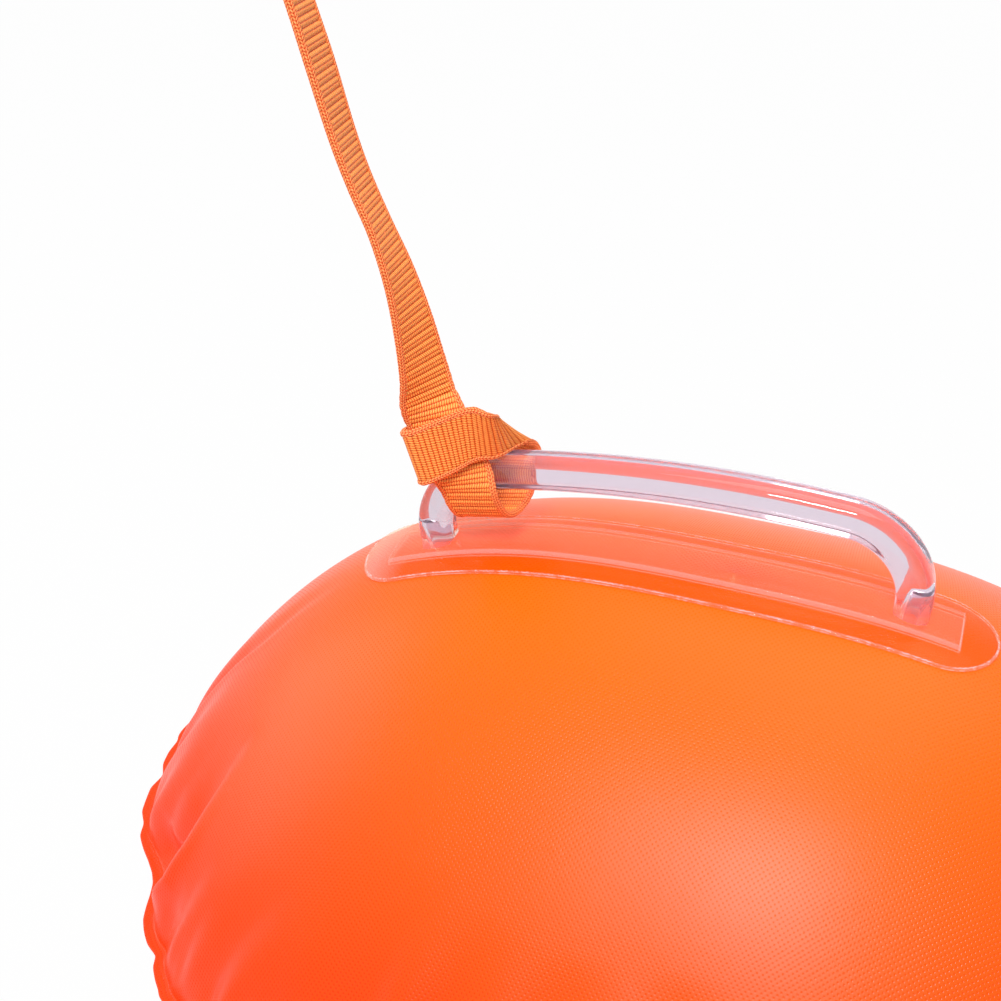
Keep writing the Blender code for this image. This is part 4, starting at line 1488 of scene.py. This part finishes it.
@dataclass
class MouthValve:
    """One valve: welded base with its collar, and a stem with its flap, stopper and tether."""

    body: InflatedFloat
    side: int
    offset: float = 150.5 * MM
    gap: float = 0.3 * MM
    flange_radius: float = 16 * MM
    flange: float = 1.0 * MM
    collar_inner: float = 6.4 * MM
    collar_outer: float = 8.5 * MM
    collar_high: float = 3.0 * MM
    collar_low: float = -10 * MM
    stem_radius: float = 6.1 * MM
    stem_bore: float = 4.0 * MM
    stem_low: float = -20.5 * MM
    ring_height: float = 1.2 * MM
    lip_radius: float = 7.5 * MM
    lip_low: float = 3.3 * MM
    lip_high: float = 4.8 * MM
    head_radius: float = 6.5 * MM
    head_low: float = 6.4 * MM
    shank_radius: float = 3.7 * MM
    shank_low: float = -4.6 * MM
    strap_half: float = 1.75 * MM

    @property
    def word(self) -> str:
        """The side's name in the frame."""
        return "upper" if self.side > 0 else "lower"

    @property
    def place(self) -> Matrix:
        """Frame on the skin: Z is the skin's normal, from the slopes of its height formula.

        Returns:
            The frame as a 4x4.
        """
        form, x = self.body, self.offset
        z = float(form.height(np.array(x), np.array(0.0)))
        slope_x = form.length_power * (x / form.half_length) ** (form.length_power - 1) / form.half_length
        slope_z = (z / form.half_height) ** (1 / form.crown_power - 1) / form.crown_power / form.half_height
        normal = Vector((slope_x, 0, self.side * slope_z)).normalized()
        across = Vector((0, 1, 0))
        turn = Matrix((across.cross(normal), across, normal)).transposed().to_4x4()
        return Matrix.Translation((x, 0, form.seam_height + self.side * z)) @ turn

    def draped(self, a: Array, b: Array) -> Array:
        """Height of the skin over the tangent plane, by halving an interval as whole arrays.

        Args:
            a: the frame's X.
            b: the frame's Y.

        Returns:
            One height per spot.
        """
        place = self.place
        low = np.full(np.broadcast(a, b).shape, -self.flange_radius)
        high = -low
        for _ in range(34):
            middle = (low + high) / 2
            spot = carried(np.stack(np.broadcast_arrays(a, b, middle), -1), place)
            over_seam = np.abs(spot[..., 2] - self.body.seam_height)
            inside = over_seam < self.body.height(spot[..., 0], spot[..., 1])
            low, high = np.where(inside, middle, low), np.where(inside, high, middle)
        return (low + high) / 2

    def base_piece(self) -> bpy.types.Object:
        """Builds the base: a ring profile that lies on the skin outside and is a straight collar inside.

        Returns:
            The base with its collar.
        """
        rim, inner, outer = self.flange_radius, self.collar_inner, self.collar_outer
        under, top, high, low = self.gap, self.gap + self.flange, self.collar_high, self.collar_low
        rows = [(rim - 0.3 * MM, under), (rim, under + 0.25 * MM), (rim, top - 0.35 * MM)]
        rows += [(rim - 0.3 * MM, top - 0.1 * MM), (rim - 1.1 * MM, top - 0.18 * MM)]
        rows += [(rim - 1.6 * MM, top), (rim - 2.6 * MM, top), (rim - 5 * MM, top)]
        rows += [(outer + 1.1 * MM, top + 0.05 * MM), (outer + 0.4 * MM, top + 0.4 * MM)]
        rows += [(outer + 0.05 * MM, high - 0.6 * MM), (outer - 0.1 * MM, high - 0.2 * MM)]
        rows += [(outer - 0.4 * MM, high), (inner + 0.4 * MM, high), (inner + 0.05 * MM, high - 0.3 * MM)]
        rows += [(inner, high - 0.8 * MM), (inner, low + 0.2 * MM), (inner + 0.2 * MM, low)]
        rows += [(outer - 0.2 * MM, low), (outer, low + 0.2 * MM), (outer, under)]
        profile = np.array(rows)
        turns = np.linspace(0, 2 * math.pi, 120, endpoint=False)
        a = profile[:, :1] * np.cos(turns)
        b = profile[:, :1] * np.sin(turns)
        drape = np.clip((profile[:, :1] - outer) / (3 * MM), 0, 1)
        drape[-1] = 0.0
        height = profile[:, 1:] + self.draped(a, b) * drape
        points = carried(np.stack([a, b, height], -1), self.place)
        return crease(swept(f"{self.word}_valve_seat", points, closed=True))

    def stem_piece(self) -> bpy.types.Object:
        """Builds the mouth tube with its rounded lip and its stop ring.

        Returns:
            The mouth tube.
        """
        lip, bore, stem = self.lip_radius, self.stem_bore, self.stem_radius
        low, top, under = self.stem_low, self.lip_high, self.lip_low
        rows = [(lip, top - 0.4 * MM), (lip - 0.15 * MM, top - 0.12 * MM), (lip - 0.5 * MM, top)]
        rows += [(bore + 0.5 * MM, top), (bore + 0.1 * MM, top - 0.15 * MM), (bore, top - 0.5 * MM)]
        rows += [(bore, low + 0.2 * MM), (bore + 0.2 * MM, low), (lip - 0.2 * MM, low)]
        rows += [(lip, low + 0.2 * MM), (lip, low + self.ring_height - 0.2 * MM)]
        rows += [(lip - 0.2 * MM, low + self.ring_height), (stem, low + self.ring_height)]
        rows += [(stem, under), (lip - 0.3 * MM, under), (lip, under + 0.3 * MM)]
        return crease(turned_piece(f"{self.word}_mouth_tube", np.array(rows), self.place, 96, True))

    def stopper_piece(self) -> bpy.types.Object:
        """Builds the stopper: a tapered shank under a domed head with a dished top.

        Returns:
            The stopper.
        """
        head, low = self.head_radius, self.head_low
        shank, tip = self.shank_radius, self.shank_low
        rows = [(0, low + 1.95 * MM), (3.2 * MM, low + 2.02 * MM), (4.6 * MM, low + 2.2 * MM)]
        rows += [(head - 0.6 * MM, low + 2.05 * MM), (head - 0.1 * MM, low + 1.6 * MM)]
        rows += [(head, low + 1.1 * MM), (head - 0.1 * MM, low + 0.5 * MM), (head - 0.5 * MM, low + 0.1 * MM)]
        rows += [(head - 0.9 * MM, low), (shank + 0.2 * MM, low), (shank, low - 0.3 * MM)]
        rows += [(shank, tip + 1.4 * MM), (shank - 0.3 * MM, tip + 0.4 * MM)]
        rows += [(shank - 0.8 * MM, tip), (0, tip)]
        return crease(turned_piece(f"{self.word}_stopper", np.array(rows), self.place, 96, False))

    def tether_piece(self) -> bpy.types.Object:
        """Builds the ring round the stopper and the little strap that hooks it to the tube's lip.

        Returns:
            The ring and its strap, in one piece.
        """
        rows = [(4.0, 5.1), (6.6, 5.1), (6.8, 5.3), (6.8, 5.9), (6.6, 6.1), (4.0, 6.1)]
        ring = turned_piece(f"{self.word}_tether", np.array(rows) * MM, self.place, 96, True)
        rows = [(5.4, 6.1), (10.6, 6.1), (11.2, 5.9), (11.5, 5.4), (11.5, 4.3), (11.3, 4.05)]
        rows += [(7.8, 4.05), (7.8, 4.55), (10.2, 4.55), (10.5, 4.8), (10.3, 5.1), (5.4, 5.1)]
        side = np.array(rows) * MM
        half = self.strap_half
        wide = np.array([-0.01 * MM, -half, -half, half, half, 0.01 * MM])
        shrink = np.array([1e-3, 0.96, 1, 1, 0.96, 1e-3])
        middle = side.mean(0)
        grid = middle + (side - middle)[None] * shrink[:, None, None]
        local = np.stack([grid[..., 0], np.broadcast_to(wide[:, None], grid.shape[:2]), grid[..., 1]], -1)
        strap = swept("tether_strap", carried(local, self.place))
        join = ring.modifiers.new("join", "BOOLEAN")
        join.operation, join.solver, join.object = Join.ADD.value, "EXACT", strap
        bake_modifiers(ring)
        bpy.data.objects.remove(strap, do_unlink=True)
        return crease(ring)

    def build(self, vinyl: bpy.types.Material) -> None:
        """Builds and dresses the valve's pieces; the flap keeps the frame's own shape.

        Args:
            vinyl: the valves' clear plastic.
        """
        word = self.word
        stem, plug = Body(f"{word}_stem"), Body(f"{word}_plug")
        dress(self.base_piece(), vinyl, Body.BUOY, [f"{word}_valve_base"])
        dress(self.stem_piece(), vinyl, stem, [f"{word}_valve_stem"])
        dress(self.tether_piece(), vinyl, stem, [f"{word}_valve_tether"])
        dress(self.stopper_piece(), vinyl, plug, [f"{word}_valve_plug"])
        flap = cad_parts[f"{word}_valve_flap"]
        flap.data.materials.clear()
        flap.data.materials.append(vinyl)


# The leash


@dataclass
class Webbing:
    """Flat woven band with ribs across it, and a thick chained selvedge on each edge."""

    width: float = 20 * MM
    thickness: float = 1.5 * MM
    rib_pitch: float = 3.2 * MM
    rib_depth: float = 0.55 * MM
    step: float = 0.27 * MM
    edge_width: float = 2.3 * MM
    edge_thickness: float = 2.4 * MM
    edge_rows: int = 8
    chain: WovenPolyester = CHAINED_EDGE

    def frames(self, rows: Array, step: float) -> tuple[Array, Array, Array, Array]:
        """Points, directions across and through the band, and run, at even steps.

        Args:
            rows: points and directions across, as six columns.
            step: length between the steps.

        Returns:
            Points, across, through and the length run.
        """
        even, run = resample(rows, step)
        spots = even[:, :3]
        along = unit(np.gradient(spots, axis=0))
        across = unit(even[:, 3:6])
        through = unit(np.cross(along, across))
        return spots, across, through, run

    def band(self, name: str, rows: Array) -> bpy.types.Object:
        """Builds the band between the selvedges: a flat section carried along a path and closed at its ends.

        Each face stands off the middle by a rib's bulge, the sine of the share run through the rib to the
        power 0.6, with a shallow groove down its middle, where its two rows of floats meet.

        Args:
            name: the piece's name.
            rows: points and directions across, as six columns.

        Returns:
            The band, with its U across and V along in metres.
        """
        spots, across, through, run = self.frames(rows, self.step)
        face = np.linspace(-1, 1, 15)
        u = np.concatenate([face, face[::-1]]) * (self.width / 2 - self.edge_width * 0.6)
        sign = np.concatenate([np.ones(15), -np.ones(15)])[None]
        turn = math.pi * run[:, None] / self.rib_pitch
        bulge = 0.75 * np.abs(np.sin(turn)) ** 0.6 + 0.25 * np.abs(np.sin(2 * turn)) ** 0.6
        height = sign * (self.thickness / 2 - self.rib_depth * 0.6 + self.rib_depth * bulge)
        grid = spots[:, None] + across[:, None] * u[None, :, None] + through[:, None] * height[..., None]
        uv = np.stack(np.broadcast_arrays(u[None], run[:, None]), -1)
        return self.closed_ends(name, grid, uv)

    def selvedge(self, name: str, rows: Array) -> bpy.types.Object:
        """Builds the chained selvedges: a thick rounded section on each edge, with rows of chain along it.

        The radius swells with the size of the sine of half the turn per row, and with a wave along the band,
        one crest per rib, as the weft pulls the edge in between the ribs.

        Args:
            name: the piece's name.
            rows: points and directions across, as six columns.

        Returns:
            The two selvedges as one piece, with U round the section, in rows, and V along in metres.
        """
        spots, across, through, run = self.frames(rows, self.step)
        count = 6 * self.edge_rows
        turns = np.linspace(0, 2 * math.pi, count, endpoint=False)[None]
        lobe = np.abs(np.sin(turns * self.edge_rows / 2)) ** 0.6
        swell = 0.86 + 0.14 * lobe
        pull = 1 + 0.16 * (np.abs(np.sin(math.pi * run[:, None] / self.rib_pitch)) - 0.6)
        round_way = turns / (2 * math.pi) * self.edge_rows * self.chain.row_pitch
        uv = np.stack(np.broadcast_arrays(round_way, run[:, None]), -1)
        edges = []
        for edge in (-1, 1):
            middle = self.width / 2 - self.edge_width / 2
            out = edge * (middle - self.edge_width / 2 * np.cos(turns) * swell * pull)
            up = self.edge_thickness / 2 * np.sin(turns) * swell * np.ones_like(pull)
            grid = spots[:, None] + across[:, None] * out[..., None] + through[:, None] * up[..., None]
            edges.append(self.closed_ends(f"{name}_{edge}", grid, uv))
        return joined(name, edges)

    @staticmethod
    def closed_ends(name: str, grid: Array, uv: Array) -> bpy.types.Object:
        """Makes a piece of a grid of stations by points round, with each end drawn in to its middle.

        Args:
            name: the piece's name.
            grid: stations by points by three.
            uv: stations by points by two.

        Returns:
            The closed piece.
        """
        count = grid.shape[1]
        ends = [grid[k : k + 1].mean(1, keepdims=True).repeat(count, 1) for k in (0, len(grid) - 1)]
        grid = np.concatenate([ends[0], grid, ends[1]])
        uv = np.concatenate([uv[:1], uv, uv[-1:]]).reshape(-1, 2)
        return swept(name, grid, uv)


NOOSE_ROWS: tuple[tuple[float, ...], ...] = (
    (-0.430, -1, -0.300, 1, 1.312, 0.63, 0.78, 0.00),
    (-0.321, -1, -0.353, 1, 0.913, 0.92, 0.39, 0.00),
    (-0.280, -1, -0.299, 1, 0.463, 0.86, 0.51, 0.00),
    (-0.195, -1, -0.252, 1, 0.019, 0.88, 0.48, 0.00),
    (-0.142, -1, -0.245, 0, -0.100, 1.00, 0.05, 0.00),
    (-0.140, -1, -0.150, -1, -0.163, 1.00, 0.00, 0.00),
    (-0.110, -1, 0.020, -1, -0.420, 1.00, 0.00, 0.00),
    (-0.050, 0, 0.000, -1, -0.515, 1.00, 0.00, 0.00),
    (0.050, 1, -0.015, -1, -0.430, 1.00, 0.00, 0.00),
    (0.180, 1, 0.170, -1, -0.138, 1.00, 0.00, 0.00),
    (0.270, 1, 0.227, 0, -0.100, 0.99, 0.05, -0.12),
    (0.352, 1, 0.211, 1, -0.036, 0.84, 0.21, -0.50),
    (0.442, 1, 0.040, 1, 0.218, 0.60, 0.42, -0.68),
    (0.553, 1, -0.202, 1, 0.391, 0.28, 0.53, -0.80),
    (0.541, -1, 0.238, 1, 0.463, 0.03, 0.51, -0.86),
    (0.433, -1, -0.094, 1, 0.551, -0.15, 0.25, -0.95),
    (0.182, -1, -0.225, 1, 0.643, -0.12, 0.05, -1.00),
    (-0.223, -1, -0.405, 1, 0.543, 0.02, 0.00, -1.00),
    (-0.628, -1, -0.625, 1, 0.453, 0.08, 0.00, -1.00),
    (-0.813, -1, -0.590, 1, 0.423, 0.10, 0.00, -1.00),
    (-0.752, -1, -0.411, 1, 0.435, 0.10, 0.00, -1.00),
    (-0.311, -1, -0.208, 1, 0.517, 0.05, 0.00, -1.00),
    (-0.038, -1, -0.010, 1, 0.593, 0.00, 0.00, -1.00),
)
LEASH_ROWS: tuple[tuple[float, float, float], ...] = (
    (-0.860, 2.160, 73),
    (-1.025, 2.955, 84),
    (-1.245, 3.715, 95),
    (-1.535, 4.440, 102),
    (-1.835, 5.140, 101),
    (-2.060, 5.830, 100),
    (-2.340, 6.830, 99),
    (-2.540, 7.470, 101),
    (-2.780, 8.240, 101),
    (-2.930, 8.720, 101),
)


@dataclass
class Leash:
    """The slip noose on the grip, the free strap and its sewn end loop."""

    handle: CarryHandle
    webbing: Webbing = field(default_factory=Webbing)
    angle: float = -12.3008
    hinge_gap: float = 1 * MM
    seen_gap: float = 0.1 * MM
    loop_length: float = 46 * MM
    loop_opening: float = 11 * MM
    loop_lap: float = 22 * MM
    gap: float = 0.3 * MM
    thread_radius: float = 0.3 * MM
    thread_gap: float = 0.1 * MM
    thread_turns: int = 7

    @property
    def place(self) -> Array:
        """Frame at the noose as a 4x4: X along the grip, Y across it and Z away from the buoy.

        Returns:
            The frame as a 4x4.
        """
        arc, turn = self.handle.arc, math.radians(self.angle)
        reach = arc.radius + self.handle.grip_height
        spot = (arc.centre_x + reach * math.sin(turn), 0, arc.centre_z + reach * math.cos(turn))
        return np.array(Matrix.Translation(spot) @ Matrix.Rotation(turn, 4, "Y"))

    def noose_rows(self) -> Array:
        """Points and directions across of the noose, in the row frame.

        Returns:
            Rows of a point and a direction.
        """
        rows = np.array(NOOSE_ROWS)
        wide = self.webbing.width
        spots = np.stack(
            [
                rows[:, 0] * wide,
                rows[:, 1] * self.handle.grip_deep / 2 + rows[:, 2] * wide,
                rows[:, 3] * self.handle.grip_tall / 2 + rows[:, 4] * wide,
            ],
            1,
        )
        path = smooth_path(np.hstack([spots, rows[:, 5:]]), 12)
        turn = self.place
        return np.hstack([carried(path[:, :3], turn), path[:, 3:] @ turn[:3, :3].T])

    def strap_rows(self) -> Array:
        """Points and directions across of the free strap, each direction square to the path.

        Returns:
            Rows of a point and a direction.
        """
        turn = self.place
        first = self.noose_rows()[0]
        start = first[:3] + turn[:3, :3] @ np.array([0, 0, self.hinge_gap])
        rows = np.array(LEASH_ROWS)
        wide = self.webbing.width
        spots = np.stack(
            [turn[0, 3] + rows[:, 0] * wide, np.full(len(rows), start[1]), turn[2, 3] + rows[:, 1] * wide],
            1,
        )
        twist = np.radians(rows[:, 2])
        sides = np.stack([np.cos(twist), np.sin(twist), 0 * twist], 1) @ turn[:3, :3].T
        spots, sides = np.vstack([start, spots]), np.vstack([first[3:6], sides])
        after, before = np.vstack([spots[1:], spots[-1:]]), np.vstack([spots[:1], spots[:-1]])
        along = unit(after - before)
        sides = unit(sides - along * (sides * along).sum(1, keepdims=True))
        return smooth_path(np.hstack([spots, sides]), 12)

    def seen_strap_rows(self) -> Array:
        """The strap's rows as they are drawn.

        They go on from the noose's end in its own direction, so that the gap at the hinge doesn't show.

        Returns:
            Rows of a point and a direction.
        """
        noose, rows = self.noose_rows(), self.strap_rows()
        along = unit(noose[0, :3] - noose[6, :3])
        first = noose[0].copy()
        first[:3] += along * self.seen_gap
        before = first.copy()
        before[:3] -= along * 8 * MM
        return smooth_path(np.vstack([before, first, rows[9::12], rows[-1:]]), 12)[12:]

    def end_place(self) -> Array:
        """Frame at the top of the strap: X across the webbing, Y through it and Z on along it.

        Returns:
            The frame as a 4x4.
        """
        rows = self.strap_rows()
        last, before = rows[-1], rows[-13]
        along = unit(last[:3] - before[:3])
        across = unit(last[3:6] - along * (last[3:6] @ along))
        turn = np.eye(4)
        turn[:3] = np.stack([across, np.cross(along, across), along, last[:3]], 1)
        return turn

    def loop_rows(self) -> Array:
        """Points and directions across of the end loop, out from the strap and back down behind it.

        Returns:
            Rows of a point and a direction.
        """
        layer = self.webbing.thickness + self.gap
        half, middle, long = self.loop_opening / 2, layer / 2, self.loop_length
        low, belly, head = 0.2 * long, 0.6 * long, 0.9 * long
        part = 2 * self.gap
        rows = [(0, self.gap), (-part, low), (middle - half, belly), (middle - 0.7 * half, head)]
        rows += [(middle, long), (middle + 0.7 * half, head), (middle + half, belly)]
        rows += [(layer + part, low), (layer, 0), (layer, -self.loop_lap)]
        local = np.array([(0, through, along, 1, 0, 0) for through, along in rows])
        path = smooth_path(local, 12)
        turn = self.end_place()
        return np.hstack([carried(path[:, :3], turn), path[:, 3:] @ turn[:3, :3].T])

    def stitch_piece(self) -> bpy.types.Object:
        """Builds the zigzag of thread: rounded waves of a round yarn over the lap of the end loop.

        Returns:
            The thread.
        """
        turns, wide = self.thread_turns, self.webbing.width * 0.7
        t = np.linspace(0, 1, turns * 24 + 1)
        zig = wide / 2 * (2 / math.pi) * np.arcsin(0.97 * np.sin(2 * math.pi * turns * t))
        layer = self.webbing.thickness + self.gap
        level = layer + self.webbing.thickness / 2 + self.thread_radius + self.thread_gap
        local = np.stack([zig, np.full_like(t, level), -self.loop_lap * (0.85 - 0.7 * t)], 1)
        turn = self.end_place()
        line = carried(local, turn)
        tangent = unit(np.gradient(line, axis=0))
        first = unit(np.cross(tangent, turn[:3, 1]))
        second = np.cross(tangent, first)
        spin = np.linspace(0, 2 * math.pi, 8, endpoint=False)
        tube = line[:, None] + self.thread_radius * (
            first[:, None] * np.cos(spin)[None, :, None] + second[:, None] * np.sin(spin)[None, :, None]
        )
        tube = np.concatenate([line[:1, None].repeat(8, 1), tube, line[-1:, None].repeat(8, 1)])
        return swept("end_loop_thread", tube)

    def build(self) -> None:
        """Builds and dresses the noose, the strap, the end loop and their selvedges."""
        cloth, yarn = WovenPolyester().build(), CHAINED_EDGE.build()
        thread = TwistedYarn().build()
        web = self.webbing
        noose = self.noose_rows()
        dress(web.band("slip_noose", noose), cloth, Body.NOOSE, ["leash_noose"])
        dress(web.selvedge("slip_noose_selvedge", noose), yarn, Body.NOOSE)
        loop = self.loop_rows()
        end = dress(web.band("end_loop", loop), cloth, Body.LEASH, ["leash_end_loop"])
        end_yarn = dress(web.selvedge("end_loop_selvedge", loop), yarn, Body.LEASH)
        sewing = dress(self.stitch_piece(), thread, Body.LEASH, ["end_loop_stitching"])
        rows = self.seen_strap_rows()
        strap = dress(web.band("leash_band", rows), cloth, Body.LEASH, ["leash_strap"])
        strap_yarn = dress(web.selvedge("leash_band_selvedge", rows), yarn, Body.LEASH)
        rows = self.strap_rows()


# The stage


@dataclass(frozen=True)
class Lamp:
    """One soft square lamp, aimed at the middle of the float."""

    name: str
    place: tuple[float, float, float]
    size: float
    power: float
    aim: tuple[float, float, float] = (0, 0, 0.15)

    def build(self) -> None:
        """Hangs the lamp."""
        data = bpy.data.lights.new(self.name, "AREA")
        data.shape = "SQUARE"
        data.size = self.size
        data.energy = self.power
        lamp = bpy.data.objects.new(self.name, data)
        lamp.location = self.place
        way = Vector(self.aim) - Vector(self.place)
        lamp.rotation_euler = way.to_track_quat("-Z", "Y").to_euler()
        bpy.context.scene.collection.objects.link(lamp)


@dataclass(frozen=True)
class Studio:
    """White floor, soft lamps and the camera of the photograph."""

    eye: tuple[float, float, float] = (0.05768, -0.36223, 0.50855)
    target: tuple[float, float, float] = (-0.08101, 0.0, 0.26126)
    lens: float = 48.94
    floor_hex: str = "BCBCBC"
    floor_white: float = 0.98
    floor_half: float = 6.0
    surround: float = 0.46
    lamps: tuple[Lamp, ...] = (
        Lamp("lamp_above", (0.2, 0.5, 1.7), 1.2, 9),
        Lamp("lamp_over_camera", (0.04, -0.83, 1.52), 0.36, 22),
        Lamp("lamp_left", (-1.45, 0.0, 0.8), 0.9, 8),
    )

    def camera(self) -> None:
        """Sets the camera at the photograph's place, aimed at its middle."""
        data = bpy.data.cameras.new("photo_view")
        data.lens = self.lens
        data.sensor_width = 36
        data.clip_start = 0.01
        eye = bpy.data.objects.new("photo_view", data)
        eye.location = self.eye
        aim = Vector(self.target) - Vector(self.eye)
        eye.rotation_euler = aim.to_track_quat("-Z", "Y").to_euler()
        bpy.context.scene.collection.objects.link(eye)
        bpy.context.scene.camera = eye

    def seen_white(self, tree: bpy.types.NodeTree, share: float) -> bpy.types.NodeSocket:
        """A factor of a share for rays that see the background: camera, glossy and transmission rays.

        Args:
            tree: the node tree to add to.
            share: the factor for such a ray.

        Returns:
            The factor's socket.
        """
        path = add_node(tree, "ShaderNodeLightPath")
        first = add_node(
            tree,
            "ShaderNodeMath",
            {0: path.outputs["Is Camera Ray"], 1: path.outputs["Is Glossy Ray"]},
            operation="MAXIMUM",
        )
        both = add_node(
            tree,
            "ShaderNodeMath",
            {0: first.outputs[0], 1: path.outputs["Is Transmission Ray"]},
            operation="MAXIMUM",
        )
        factor = add_node(tree, "ShaderNodeMath", {0: both.outputs[0], 1: share}, operation="MULTIPLY")
        return factor.outputs[0]

    def floor(self) -> None:
        """Lays a wide pale floor that is seen nearly white and keeps the object's soft shadow."""
        grid = np.array([[-1, -1, 0], [1, -1, 0], [1, 1, 0], [-1, 1, 0]], float) * self.floor_half
        floor = make_mesh("studio_floor", grid, np.array([[0, 1, 2, 3]]))
        material, tree, shader = new_material("paper_sweep_matte")
        shader.inputs["Base Color"].default_value = linear(self.floor_hex)
        shader.inputs["Roughness"].default_value = 0.9
        glow = add_node(tree, "ShaderNodeEmission", {0: (1, 1, 1, 1), 1: 1.0})
        mixed = add_node(
            tree,
            "ShaderNodeMixShader",
            {0: self.seen_white(tree, self.floor_white), 1: shader.outputs[0], 2: glow.outputs[0]},
        )
        tree.links.new(mixed.outputs[0], tree.nodes["Material Output"].inputs["Surface"])
        floor.data.materials.append(material)

    def world(self) -> None:
        """Lights the scene evenly from a pale surround, which is seen as white."""
        world = bpy.data.worlds.new("studio_surround")
        world.use_nodes = True
        tree = world.node_tree
        tree.nodes.clear()
        dim = add_node(tree, "ShaderNodeBackground", {0: linear("FFFFFF"), 1: self.surround})
        white = add_node(tree, "ShaderNodeBackground", {0: (1, 1, 1, 1), 1: 1.0})
        mixed = add_node(
            tree,
            "ShaderNodeMixShader",
            {0: self.seen_white(tree, 1.0), 1: dim.outputs[0], 2: white.outputs[0]},
        )
        add_node(tree, "ShaderNodeOutputWorld", {0: mixed.outputs[0]})
        bpy.context.scene.world = world

    def build(self) -> None:
        """Sets the camera, floor, surround and lamps."""
        self.camera()
        self.floor()
        self.world()
        for lamp in self.lamps:
            lamp.build()
        bpy.context.scene.view_settings.view_transform = "Standard"


def main() -> None:
    """Builds every piece of the buoy and its stage."""
    logging.basicConfig(level=logging.INFO, format="%(name)s: %(message)s")
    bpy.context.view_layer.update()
    Studio().build()
    body = InflatedFloat()
    handle = CarryHandle(body)
    Leash(handle).build()
    valves = {side: MouthValve(body, side) for side in (1, -1)}
    body.build({side: valve.place for side, valve in valves.items()})
    handle.build()
    vinyl = ClearVinyl("clear_pvc_soft_valve", roughness=0.2, haze_hex="E6E2EA", haze=0.55).build()
    for valve in valves.values():
        valve.build(vinyl)


if __name__ == "__main__":
    main()
